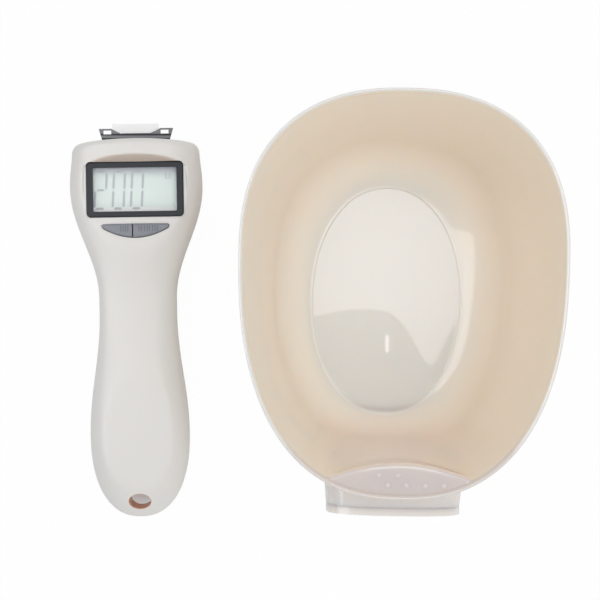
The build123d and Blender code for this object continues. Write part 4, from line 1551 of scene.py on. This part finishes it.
@dataclass
class Bowl(SubAssembly):
    """The bowl with its foot, rim, rear shelf and collar."""

    height: float = 57.0
    length: float = 143.4
    rim_width: float = 109.9
    rim_widest: float = 87.9
    rim_rear: float = 6.9
    powers: Point = (FLOOR_POWER, 2.4)
    base_width: float = 60.0
    base_length: float = 89.0
    base_at: float = FLOOR_AT[1]
    swell: Point = (0.36, 14.0)
    wall: float = 2.0
    rim_thinning: float = 0.8
    floor: float = 3.0
    floor_step: float = 0.4
    floor_ridge: tuple[Point, ...] = (
        (0.0, 0.0),
        (0.08, 0.04),
        (0.18, 0.2),
        (0.28, 0.5),
        (0.38, 0.8),
        (0.48, 0.96),
        (0.56, 1.0),
        (1.0, 1.0),
        (4.0, 1.0),
    )
    foot: Point = (3.0, 0.8)
    foot_insets: tuple[float, ...] = (6.0, 1.0, 0.6)
    floor_curve: float = 15.0
    shelf_height: float = 55.8
    shelf_front: float = 18.9
    shelf_side: float = 14.4
    shelf_half_width: float = 23.0
    shelf_nose: tuple[Point, ...] = ((0.02, 1.6), (0.12, 0.7), (0.45, 0.2), (1.0, 0.0))
    shelf_blend: Point = (1.2, 0.5)
    thin_from: float = 40.0
    collar: tuple[float, float, float] = (22.9, 11.6, 12.0)
    collar_power: float = 2.8
    collar_middle: float = 34.0
    collar_wall: float = 2.2
    plate: float = 2.62
    collar_flare: float = 1.5
    collar_steps: int = 128
    around: int = 288
    swell_steps: int = 15
    swell_crowding: float = 2.2
    wall_steps: int = 19
    lip_steps: int = 12
    inner_steps: int = 14
    curve_steps: int = 30

    def outline(self, height: float) -> Egg:
        """Gives the bowl's outer outline.

        Args:
            height: The height.

        Returns:
            The outline there.
        """
        share, span = self.swell
        curve = math.sqrt(max(1 - (1 - min(height / span, 1.0)) ** 2, 0.0))
        grow = share * curve + (1 - share) * height / self.height
        widest = self.base_at + (self.rim_widest - self.base_at) * grow
        front = self.base_at + self.base_length / 2
        front += (self.length - front) * grow
        rear = self.base_at - self.base_length / 2
        rear += (self.rim_rear - rear) * grow
        half = (self.base_width + (self.rim_width - self.base_width) * grow) / 2
        power = self.powers[0] + (self.powers[1] - self.powers[0]) * grow
        return Egg(half, front - widest, widest - rear, widest, power)

    def inner(self, height: float) -> Egg:
        """Gives the bowl's inner outline, which curves out of the floor.

        Args:
            height: The height.

        Returns:
            The outline there.
        """
        outer = self.outline(height)
        share = min(max((height - self.floor) / self.floor_curve, 0.0), 1.0)
        out = math.sqrt(1 - (1 - share) ** 2)
        thinned = max(height - self.thin_from, 0.0) / (self.height - self.thin_from)
        wall = outer.shrunk(self.wall - self.rim_thinning * thinned)
        base = Egg(FLOOR[0], FLOOR[1], FLOOR[1], self.base_at, FLOOR_POWER)
        return Egg(*(b + (w - b) * out for b, w in zip(astuple(base), astuple(wall))))

    def ring(
        self, egg: Egg, height: float, inset: float = 0.0, shelf: float | None = None
    ) -> list[Vector]:
        """Draws one ring of the bowl.

        Args:
            egg: The ring's outline.
            height: Its height.
            inset: How far it is drawn in.
            shelf: How far inside the shelf's front edge it stays, or none.

        Returns:
            The ring's points.
        """
        drawn = egg.shrunk(inset)
        start, growth = self.shelf_blend
        blend = start + growth * max(self.shelf_height - height, 0.0)
        points = []
        for step in range(self.around):
            u, v = drawn.point(math.tau * step / self.around - math.pi / 2)
            if shelf is not None:
                v = soft_max(v, self.shelf_edge(u) - shelf, blend)
            points.append(self.place.point(u, v, height))
        return points

    def shelf_edge(self, across: float) -> float:
        """Gives how far the shelf's front edge reaches at a place across it."""
        share = across / self.shelf_half_width
        return self.shelf_front - (self.shelf_front - self.shelf_side) * share * share

    def outer_rings(self) -> list[list[Vector]]:
        """Draws the rings from the middle of the foot to the top of the outer wall.

        Returns:
            The rings.
        """
        base = self.outline(0.0)
        foot_width, foot_depth = self.foot
        found = [self.ring(base, foot_depth, foot_width + inset) for inset in self.foot_insets]
        for height, inset in (
            (foot_depth * 0.7, foot_width + 0.1),
            (0.15, foot_width),
            (0.0, foot_width - 0.3),
            (0.0, 0.5),
        ):
            found.append(self.ring(base, height, inset))
        swell = self.swell[1]
        count = self.swell_steps
        heights = [swell * (step / count) ** self.swell_crowding for step in range(1, count)]
        top = self.height - self.lip_radius()
        count = self.wall_steps
        heights += [swell + (top - swell) * step / count for step in range(count + 1)]
        found += [self.ring(self.outline(height), height) for height in heights]
        return found

    def lip_radius(self) -> float:
        """Gives the radius of the rim's round edge."""
        return (self.wall - self.rim_thinning) / 2

    def lip_rings(self) -> list[list[Vector]]:
        """Draws the rings over the rim's round edge.

        Returns:
            The rings.
        """
        lip = self.lip_radius()
        found = []
        for step in range(1, self.lip_steps):
            turn = math.pi * step / self.lip_steps
            height = self.height - lip + lip * math.sin(turn)
            found.append(self.ring(self.outline(height), height, lip - lip * math.cos(turn)))
        return found

    def inner_rings(self) -> list[list[Vector]]:
        """Draws the rings from the shelf down the inner wall to the middle of the floor.

        Returns:
            The rings.
        """
        deck = self.shelf_height
        found = [self.ring(self.inner(deck + 0.15), deck + 0.15)]
        found.append(self.ring(self.inner(deck), deck, 0.1))
        for drop, back in self.shelf_nose:
            found.append(self.ring(self.inner(deck - drop), deck - drop, 0.0, back))
        nose = deck - self.shelf_nose[-1][0]
        curve_top = self.floor + self.floor_curve
        count = self.inner_steps
        heights = [nose + (curve_top - nose) * step / count for step in range(1, count)]
        for step in range(self.curve_steps):
            turn = math.pi / 2 * (1 - step / self.curve_steps)
            heights.append(self.floor + self.floor_curve * (1 - math.cos(turn)))
        found += [self.ring(self.inner(height), height, 0.0, 0.0) for height in heights]
        edge = self.inner(self.floor)
        for inset, share in self.floor_ridge:
            found.append(self.ring(edge, self.floor - self.floor_step * share, inset))
        return found

    def outer_rear(self, across: float, height: float) -> float:
        """Gives where the bowl's outer wall is at its rear.

        Args:
            across: The place across.
            height: The height.

        Returns:
            The wall's place along the bowl.
        """
        egg = self.outline(height)
        share = min(abs(across) / egg.half_width, 1.0)
        return egg.widest - egg.rear * (1 - share**egg.power) ** (1 / egg.power)

    def collar_tube(self) -> bpy.types.Object:
        """Draws the collar as a closed tube that ends inside the bowl's wall.

        Returns:
            The tube.
        """
        draft = Draft()
        half, rise, fall = self.collar
        wall = self.collar_wall
        rows = []
        for inset, share in ((0.0, 0.0), (0.0, 0.45), (0.0, 1.0), (wall, 1.0), (wall, 0.0)):
            row = []
            for step in range(self.collar_steps):
                turn = math.tau * step / self.collar_steps
                wide = half - inset + self.collar_flare * share
                u, h = egg_point(wide, rise - inset, fall - inset, self.collar_power, turn)
                z = self.collar_middle + h
                end = self.outer_rear(u, z) + 1.0
                row.append(self.place.point(u, self.plate + (end - self.plate) * share, z))
            rows.append(draft.loop(row))
        for low, high in zip(rows, rows[1:] + rows[:1]):
            draft.bridge(low, high)
        return draft.object("collar_tube")

    def build(self) -> None:
        """Makes the bowl and joins its collar on."""
        draft = Draft()
        rings = self.outer_rings() + self.lip_rings() + self.inner_rings()
        rows = [draft.loop(ring) for ring in rings]
        for low, high in zip(rows, rows[1:]):
            draft.bridge(low, high)
        draft.cap(rows[0], self.place.point(0, self.base_at, self.foot[1]))
        draft.cap(rows[-1], self.place.point(0, self.base_at, self.floor - self.floor_step))
        made = draft.object("bowl_skin")
        Joinery.apply(made, self.collar_tube(), "UNION")
        smooth(made, 40.0)
        self.pieces.append(Piece(made, BOWL, Body.SCOOP, "bowl_plastic", "scoop_bowl"))


@dataclass(frozen=True)
class Lens:
    """The keys' common outline: nearly straight on top, bellied below, round at its tips.

    Attributes:
        width: Its width.
        depth: Its depth in the middle.
        tip: Height of its tips.
        bow: Rise of its upper edge in the middle.
    """

    width: float = 24.0
    depth: float = 4.85
    tip: float = 1.2
    bow: float = 0.12

    def edges(self, across: float, growth: float) -> Point:
        """Gives the upper and the lower edge at a place across.

        Args:
            across: The place, from the middle.
            growth: How far the outline is drawn out.

        Returns:
            Both edges along the handle, where the upper edge's middle is at 0.
        """
        half = self.width / 2
        share = min(abs(across) / half, 1.0)
        upper = -self.bow * share * share
        belly = self.depth - self.bow - self.tip
        lower = -self.bow - self.tip - belly * (1 - share * share)
        radius = self.tip / 2 + growth
        beyond = max(abs(across) - (half + growth - radius), 0.0)
        close = radius - math.sqrt(max(radius * radius - beyond * beyond, 0.0))
        return upper + growth - close, lower - growth + close

    def side(self, start: float, side: int, growth: float, steps: int = 40) -> list[Point]:
        """Draws the outline from a place across to one tip and back.

        Args:
            start: The place where it starts and ends.
            side: -1 for the left tip and 1 for the right one.
            growth: How far it is drawn out.
            steps: Points on each edge.

        Returns:
            The points: upper edge, tip, lower edge.
        """
        tip = side * (self.width / 2 + growth)
        places = [start + (tip - start) * math.sin(math.pi / 2 * n / steps) for n in range(steps)]
        edges = [self.edges(place, growth) for place in places]
        upper = [(place, high) for place, (high, _) in zip(places, edges)]
        lower = [(place, low) for place, (_, low) in zip(places, edges)]
        return [*upper, (tip, self.edges(tip, growth)[0]), *reversed(lower)]

    def outline(self, growth: float) -> list[Point]:
        """Draws the whole outline.

        Args:
            growth: How far it is drawn out.

        Returns:
            The points.
        """
        right = self.side(0.0, 1, growth)
        left = self.side(0.0, -1, growth)
        return right + list(reversed(left))[1:-1]


@dataclass
class Keys(SubAssembly):
    """The two keys, with a bevelled cap, a hidden flange and small generic marks."""

    along: float = 29.5
    lens: Lens = Lens()
    split: float = 0.22
    split_at: float = -1.0
    top: float = 20.9
    bevel: tuple[Point, ...] = ((0.0, -0.34), (-0.10, -0.16), (-0.26, -0.05), (-0.48, 0.0))
    flange: Point = (17.55, 18.25)
    flange_growth: float = 0.8
    stem: tuple[float, float, float] = (5.8, 31.3, 1.2)
    stem_foot: float = 16.2
    bar: tuple[float, float, float] = (0.34, 2.1, 0.03)
    bar_drop: float = 1.75
    left_bars: tuple[float, ...] = (-5.2, -4.3, -3.5, -2.7)
    right_bars: tuple[float, ...] = (1.3, 2.1, 3.2, 4.2, 5.0, 6.1, 7.0, 7.8)

    def profile(self) -> list[Point]:
        """Lists the cap's growth and height from its underside to its top.

        Returns:
            The growth and the height of each row.
        """
        low, high = self.flange
        foot = [(self.flange_growth, low), (self.flange_growth, high), (0.0, high + 0.02)]
        return foot + [(growth, self.top + drop) for growth, drop in self.bevel]

    def cap(self, side: int) -> Draft:
        """Draws one half of the lens.

        Args:
            side: -1 for the left key and 1 for the right one.

        Returns:
            The draft of the closed cap.
        """
        draft = Draft()
        rows = []
        for growth, height in self.profile():
            start = self.split_at + side * (self.split / 2 - min(growth, 0.0) * 0.4)
            outline = self.lens.side(start, side, growth)
            row = [self.place.point(u, v - self.along, height) for u, v in outline]
            rows.append(draft.loop(row))
        for low, high in zip(rows, rows[1:]):
            draft.bridge(low, high)
        draft.strip_cap(rows[0])
        draft.strip_cap(rows[-1])
        return draft

    def build(self) -> None:
        """Makes both keys with their marks."""
        sides = (
            (-1, Body.POWER_KEY, self.left_bars),
            (1, Body.UNIT_KEY, self.right_bars),
        )
        for side, body, bars in sides:
            made = self.cap(side).object(body.value + "_cap")
            across, along, radius = self.stem
            outline = ellipse_outline(radius, radius, (side * across, -along))
            stem = Joinery.prism("stem", self.place, outline, self.stem_foot, self.flange[1])
            Joinery.apply(made, stem, "UNION")
            smooth(made, 24.0)
            self.pieces.append(Piece(made, KEY, body, "key_plastic", body.value))
            draft = Draft()
            wide, tall, rise = self.bar
            for place in bars:
                outline = box_outline(wide, tall, (place, -self.along - self.bar_drop))
                draft.slab(self.place, outline, self.top, self.top + rise)
            mark = draft.object(body.value + "_mark")
            self.pieces.append(Piece(mark, MARK, body, "key_plastic"))


@dataclass
class Reading(SubAssembly):
    """The darkened segments of the display: a plain reading and a small open mark."""

    height: float = 18.5
    thickness: float = 0.05
    middle: float = -17.3
    first: float = -12.35
    pitch: float = 6.5
    size: Point = (3.9, 13.2)
    lean: float = 0.058
    bar: float = 0.84
    join: Point = (1.88, 0.08)
    digits: tuple[str, ...] = ("abged", "abcdef", "abcdef")
    mark: tuple[float, float, float, float] = (11.7, 5.0, 1.4, 2.4)
    mark_line: float = 0.32

    def segments(self) -> list[list[Point]]:
        """Draws the outline of each lit segment.

        Returns:
            The outlines.
        """
        right, half = self.size[0] / 2, self.size[1] / 2
        outer, inner = (share * half / 2 for share in self.join)
        spans = {
            "a": ((-right, half), (right, half)),
            "b": ((right, outer), (right, inner)),
            "c": ((right, -inner), (right, -outer)),
            "d": ((-right, -half), (right, -half)),
            "e": ((-right, -inner), (-right, -outer)),
            "f": ((-right, outer), (-right, inner)),
            "g": ((-right, 0.0), (right, 0.0)),
        }
        found = []
        for place, lit in enumerate(self.digits):
            middle = self.first + place * self.pitch
            found += [self.segment(middle, *spans[name]) for name in lit]
        return found

    def segment(self, middle: float, start: Point, end: Point) -> list[Point]:
        """Draws one segment with pointed ends, leaning like the others.

        Args:
            middle: Middle of its digit, across the display.
            start: Where it starts, from the digit's middle.
            end: Where it ends.

        Returns:
            The outline.
        """
        cut = self.bar * 0.6
        thick = self.bar / 2
        if start[1] == end[1]:
            left, right, v = start[0] + cut, end[0] - cut, start[1]
            flat = [(left, v), (left + thick, v + thick), (right - thick, v + thick), (right, v)]
            flat += [(right - thick, v - thick), (left + thick, v - thick)]
        else:
            u, high, low = start[0], start[1], end[1]
            flat = [(u, high), (u + thick, high - thick), (u + thick, low + thick), (u, low)]
            flat += [(u - thick, low + thick), (u - thick, high - thick)]
        return [(middle + u + v * self.lean, self.middle + v) for u, v in flat]

    def open_mark(self) -> list[list[Point]]:
        """Draws the small mark beside the digits: two uprights on a foot.

        Returns:
            The outlines.
        """
        across, along, wide, tall = self.mark
        line = self.mark_line
        v = self.middle + along
        uprights = [box_outline(line, tall, (across + u, v)) for u in (-wide / 2, wide / 2)]
        foot = box_outline(wide - 0.4, line, (across, v - tall / 2 + line / 2))
        return [*uprights, foot]

    def build(self) -> None:
        """Makes the segments in place of the solid ones."""
        draft = Draft()
        for outline in self.segments() + self.open_mark():
            draft.slab(self.place, outline, self.height, self.height + self.thickness)
        made = draft.object("lcd_segments_print")
        self.pieces.append(Piece(made, INK, Body.HANDLE, "segment_ink", "lcd_segments"))


@dataclass
class GripDots(SubAssembly):
    """Two staggered rows of faint raised dots on the bowl's shelf."""

    counts: tuple[int, int] = (2, 4)
    starts: tuple[Point, Point] = ((-7.0, 15.0), (-4.0, 11.7))
    pitch: float = 6.2
    radius: float = 0.85
    height: float = 0.11
    shelf: float = Bowl.shelf_height
    sides: tuple[int, int] = (24, 12)
    vary: Point = (0.96, 1.04)
    seed: int = 7

    def tree(self, material: bpy.types.Material) -> bpy.types.NodeTree:
        """Builds the node tree that sets the dots along two rows.

        Args:
            material: The dots' material.

        Returns:
            The tree, whose sizes are named inputs.
        """
        tree = bpy.data.node_groups.new("grip_dots", "GeometryNodeTree")
        face = tree.interface
        for row in ("Front", "Rear"):
            face.new_socket(row + " Count", in_out="INPUT", socket_type="NodeSocketInt")
            face.new_socket(row + " Start", in_out="INPUT", socket_type="NodeSocketVector")
        face.new_socket("Step", in_out="INPUT", socket_type="NodeSocketVector")
        face.new_socket("Radius", in_out="INPUT", socket_type="NodeSocketFloat")
        face.new_socket("Flatness", in_out="INPUT", socket_type="NodeSocketVector")
        face.new_socket("Seed", in_out="INPUT", socket_type="NodeSocketInt")
        face.new_socket("Geometry", in_out="OUTPUT", socket_type="NodeSocketGeometry")
        entry = tree.nodes.new("NodeGroupInput").outputs
        join = tree.nodes.new("GeometryNodeJoinGeometry")
        link = tree.links.new
        for row in ("Front", "Rear"):
            line = tree.nodes.new("GeometryNodeMeshLine")
            link(entry[row + " Count"], line.inputs["Count"])
            link(entry[row + " Start"], line.inputs["Start Location"])
            link(entry["Step"], line.inputs["Offset"])
            link(line.outputs["Mesh"], join.inputs["Geometry"])
        ball = tree.nodes.new("GeometryNodeMeshUVSphere")
        ball.inputs["Segments"].default_value = self.sides[0]
        ball.inputs["Rings"].default_value = self.sides[1]
        flat = tree.nodes.new("GeometryNodeTransform")
        vary = tree.nodes.new("FunctionNodeRandomValue")
        vary.data_type = "FLOAT"
        vary.inputs[2].default_value = self.vary[0]
        vary.inputs[3].default_value = self.vary[1]
        spread = tree.nodes.new("GeometryNodeInstanceOnPoints")
        real = tree.nodes.new("GeometryNodeRealizeInstances")
        paint = tree.nodes.new("GeometryNodeSetMaterial")
        paint.inputs["Material"].default_value = material
        leave = tree.nodes.new("NodeGroupOutput")
        link(entry["Radius"], ball.inputs["Radius"])
        link(ball.outputs["Mesh"], flat.inputs["Geometry"])
        link(entry["Flatness"], flat.inputs["Scale"])
        link(entry["Seed"], vary.inputs["Seed"])
        link(join.outputs["Geometry"], spread.inputs["Points"])
        link(flat.outputs["Geometry"], spread.inputs["Instance"])
        link(vary.outputs[1], spread.inputs["Scale"])
        link(spread.outputs["Instances"], real.inputs["Geometry"])
        link(real.outputs["Geometry"], paint.inputs["Geometry"])
        link(paint.outputs["Geometry"], leave.inputs["Geometry"])
        return tree

    def values(self) -> dict[str, int | float | Vector]:
        """Lists the value of each named input.

        Returns:
            The values by name, with lengths in metres.
        """
        front, rear = (self.place.point(*start, self.shelf) for start in self.starts)
        step = self.place.point(self.pitch, 0.0, 0.0) - self.place.point(0.0, 0.0, 0.0)
        return {
            "Front Count": self.counts[0],
            "Front Start": front,
            "Rear Count": self.counts[1],
            "Rear Start": rear,
            "Step": step,
            "Radius": self.radius * MM,
            "Flatness": Vector((1.0, 1.0, self.height / self.radius)),
            "Seed": self.seed,
        }

    def build(self) -> None:
        """Makes the dots as one plain mesh."""
        made = bpy.data.objects.new("shelf_dots", bpy.data.meshes.new("shelf_dots_seed"))
        bpy.context.scene.collection.objects.link(made)
        modifier = made.modifiers.new("dots", "NODES")
        modifier.node_group = self.tree(self.paint.material(DOT))
        values = self.values()
        for item in modifier.node_group.interface.items_tree:
            if item.in_out == "INPUT":
                value = values[item.name]
                if isinstance(value, Vector):
                    for axis in range(3):
                        modifier[item.identifier][axis] = value[axis]
                else:
                    modifier[item.identifier] = value
        graph = bpy.context.evaluated_depsgraph_get()
        mesh = bpy.data.meshes.new_from_object(made.evaluated_get(graph))
        made.modifiers.remove(modifier)
        seed_mesh = made.data
        made.data = mesh
        bpy.data.meshes.remove(seed_mesh)
        mesh.name = "shelf_dots"
        smooth(made, 60.0)
        self.pieces.append(Piece(made, DOT, Body.SCOOP, "bowl_plastic"))


@dataclass(frozen=True)
class Lamp:
    """A soft rectangular lamp that faces the middle of the table.

    Attributes:
        name: Name of the lamp.
        at: Its place in metres.
        size: Its width and length in metres.
        power: Its power in watts.
        tone: Its colour.
    """

    name: str
    at: Color
    size: Point
    power: float
    tone: Color

    def place(self) -> None:
        """Puts the lamp into the scene, unseen in reflections."""
        data = bpy.data.lights.new(self.name, "AREA")
        data.shape = "RECTANGLE"
        data.size, data.size_y = self.size
        data.energy = self.power
        data.color = self.tone
        made = bpy.data.objects.new(self.name, data)
        made.location = self.at
        made.rotation_euler = (-Vector(self.at)).to_track_quat("-Z", "Y").to_euler()
        made.visible_glossy = False
        bpy.context.scene.collection.objects.link(made)


@dataclass(frozen=True)
class Card:
    """A bright flat card that shows only in reflections.

    Attributes:
        name: Name of the card.
        outline: Its corners in millimetres.
        strength: Its brightness.
        tone: Its colour.
    """

    name: str
    outline: tuple[Point, ...]
    strength: float
    tone: Color = (1.0, 0.97, 0.97)

    def place(self, height: float) -> None:
        """Puts the card into the scene.

        Args:
            height: Its height in millimetres.
        """
        mesh = bpy.data.meshes.new(self.name)
        corners = [(x * MM, y * MM, height * MM) for x, y in self.outline]
        mesh.from_pydata(corners, [], [tuple(range(len(corners)))])
        made = bpy.data.objects.new(self.name, mesh)
        bpy.context.scene.collection.objects.link(made)
        for ray in ("camera", "diffuse", "transmission", "volume_scatter", "shadow"):
            setattr(made, "visible_" + ray, False)
        material = bpy.data.materials.new(self.name)
        material.use_nodes = True
        tree = material.node_tree
        tree.nodes.remove(tree.nodes["Principled BSDF"])
        glow = tree.nodes.new("ShaderNodeEmission")
        glow.inputs["Color"].default_value = (*self.tone, 1.0)
        glow.inputs["Strength"].default_value = self.strength
        tree.links.new(glow.outputs[0], tree.nodes["Material Output"].inputs["Surface"])
        mesh.materials.append(material)


LAMPS = (
    Lamp("window", (-0.15, 0.75, 1.05), (0.9, 0.7), 2.1, (1.0, 0.99, 0.97)),
    Lamp("front", (-0.15, -0.95, 0.9), (0.9, 0.6), 1.7, (1.0, 0.98, 0.96)),
    Lamp("fill", (0.78, -0.1, 0.98), (0.7, 0.7), 1.8, (1.0, 0.97, 0.94)),
    Lamp("high", (0.35, 0.05, 1.15), (0.5, 0.5), 1.1, (1.0, 0.97, 0.94)),
)

# Cards for the bright shapes that the bowl's glossy floor and the foot of its wall reflect
CARDS = (
    Card(
        "overhead_card",
        (
            (26, -8), (35, -8), (56, -3), (76, -3), (88, -5), (99, -14), (108, -31), (114, -43),
            (121, -43), (134, -16), (150, -6), (175, 60), (175, 230), (22, 230), (22, 20),
        ),
        3.0,
    ),
    Card(
        "side_card",
        (
            (-10, -70), (-150, -85), (-300, -145), (-600, -240), (-850, -255), (-1100, -215),
            (-1300, -130), (-1300, 300), (-600, 330), (-300, 330), (-70, 110), (-10, 25),
        ),
        2.7,
    ),
    Card("strip_card", tuple(box_outline(3, 13, (86, -28), 1.4)), 6.0),
)


@dataclass
class Studio:
    """The table, the lights and the camera."""

    camera_height: float = 520.0
    camera_at: Point = (-25.3, 3.95)
    lens: float = 84.2
    shift: float = 0.1066
    ambient: float = 0.65
    ambient_tone: Color = (0.97, 0.985, 1.0)
    mirrored: float = 0.45
    table_reach: float = 3.0
    table_drop: float = 0.0002
    table_tone: Color = (0.86, 0.86, 0.86)
    table_white: float = 0.97
    shade: Point = (6.0, 5.0)
    shade_edge: Point = (0.9, 1.0)

    def camera(self) -> None:
        """Sets the camera over the table, looking straight down."""
        data = bpy.data.cameras.new("camera")
        data.lens = self.lens
        data.sensor_width = 36.0
        data.shift_x = self.shift
        data.clip_start = 0.01
        data.clip_end = 20.0
        made = bpy.data.objects.new("camera", data)
        made.location = (self.camera_at[0] * MM, self.camera_at[1] * MM, self.camera_height * MM)
        bpy.context.scene.collection.objects.link(made)
        bpy.context.scene.camera = made

    def world(self) -> None:
        """Fills the room with soft light, and shows white behind everything."""
        world = bpy.data.worlds.new("room")
        world.use_nodes = True
        bpy.context.scene.world = world
        tree = world.node_tree
        soft = tree.nodes["Background"]
        soft.inputs["Color"].default_value = (*self.ambient_tone, 1.0)
        white = tree.nodes.new("ShaderNodeBackground")
        white.inputs["Strength"].default_value = 1.0
        path = tree.nodes.new("ShaderNodeLightPath")
        level = tree.nodes.new("ShaderNodeMapRange")
        level.inputs["To Min"].default_value = self.ambient
        level.inputs["To Max"].default_value = self.mirrored
        mix = tree.nodes.new("ShaderNodeMixShader")
        out = tree.nodes["World Output"]
        tree.links.new(path.outputs["Is Glossy Ray"], level.inputs["Value"])
        tree.links.new(level.outputs["Result"], soft.inputs["Strength"])
        tree.links.new(path.outputs["Is Camera Ray"], mix.inputs[0])
        tree.links.new(soft.outputs[0], mix.inputs[1])
        tree.links.new(white.outputs[0], mix.inputs[2])
        tree.links.new(mix.outputs[0], out.inputs["Surface"])

    def table(self) -> None:
        """Adds the white table, which keeps a faint shadow and is shaded under the hang hole."""
        mesh = bpy.data.meshes.new("table")
        reach = self.table_reach
        corners = [(-reach, -reach, 0), (reach, -reach, 0), (reach, reach, 0), (-reach, reach, 0)]
        mesh.from_pydata(corners, [], [(0, 1, 2, 3)])
        made = bpy.data.objects.new("table", mesh)
        made.location = (0, 0, -self.table_drop)
        bpy.context.scene.collection.objects.link(made)
        material = bpy.data.materials.new("table_top")
        material.use_nodes = True
        tree = material.node_tree
        paper = tree.nodes["Principled BSDF"]
        paper.inputs["Base Color"].default_value = (*self.table_tone, 1.0)
        paper.inputs["Roughness"].default_value = 0.9
        glow = tree.nodes.new("ShaderNodeEmission")
        path = tree.nodes.new("ShaderNodeLightPath")
        share = tree.nodes.new("ShaderNodeMath")
        share.operation = "MULTIPLY"
        level = tree.nodes.new("ShaderNodeMapRange")
        level.inputs["To Max"].default_value = self.table_white
        mix = tree.nodes.new("ShaderNodeMixShader")
        lit = Stencil(tree).oval(HANDLE_PLACE, HANG_HOLE_AT, self.shade, self.shade_edge)
        tree.links.new(lit, level.inputs["Value"])
        tree.links.new(level.outputs["Result"], share.inputs[1])
        tree.links.new(path.outputs["Is Camera Ray"], share.inputs[0])
        tree.links.new(share.outputs[0], mix.inputs[0])
        tree.links.new(paper.outputs[0], mix.inputs[1])
        tree.links.new(glow.outputs[0], mix.inputs[2])
        tree.links.new(mix.outputs[0], tree.nodes["Material Output"].inputs["Surface"])
        mesh.materials.append(material)

    def build(self) -> None:
        """Sets up the whole studio."""
        bpy.context.scene.view_settings.view_transform = "Standard"
        self.camera()
        self.world()
        self.table()
        for lamp in LAMPS:
            lamp.place()
        for card in CARDS:
            card.place(self.camera_height)


def dress_nodes(nodes: dict[str, bpy.types.Object], paint: Paintshop) -> None:
    """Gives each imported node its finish.

    Args:
        nodes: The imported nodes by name.
        paint: The shop that gives the materials.
    """
    for name, shape in nodes.items():
        material = paint.material(NODE_FINISHES[name])
        if not shape.data.materials:
            shape.data.materials.append(material)
        for slot in shape.material_slots:
            slot.material = material
        LOG.info("%s: %s", name, material.name)


def main() -> None:
    """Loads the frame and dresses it."""
    logging.basicConfig(level=logging.INFO, format="%(message)s")
    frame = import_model()
    Studio().build()
    paint = Paintshop(SurfaceGroups(), Marks())
    dress_nodes(frame["nodes"], paint)
    parts = (
        Handle(HANDLE_PLACE, paint),
        Bowl(BOWL_PLACE, paint),
        Keys(HANDLE_PLACE, paint),
        Reading(HANDLE_PLACE, paint),
        GripDots(BOWL_PLACE, paint),
    )
    for part in parts:
        LOG.info("building %s", type(part).__name__)
        part.build()
        part.dress()


if __name__ == "__main__":
    main()
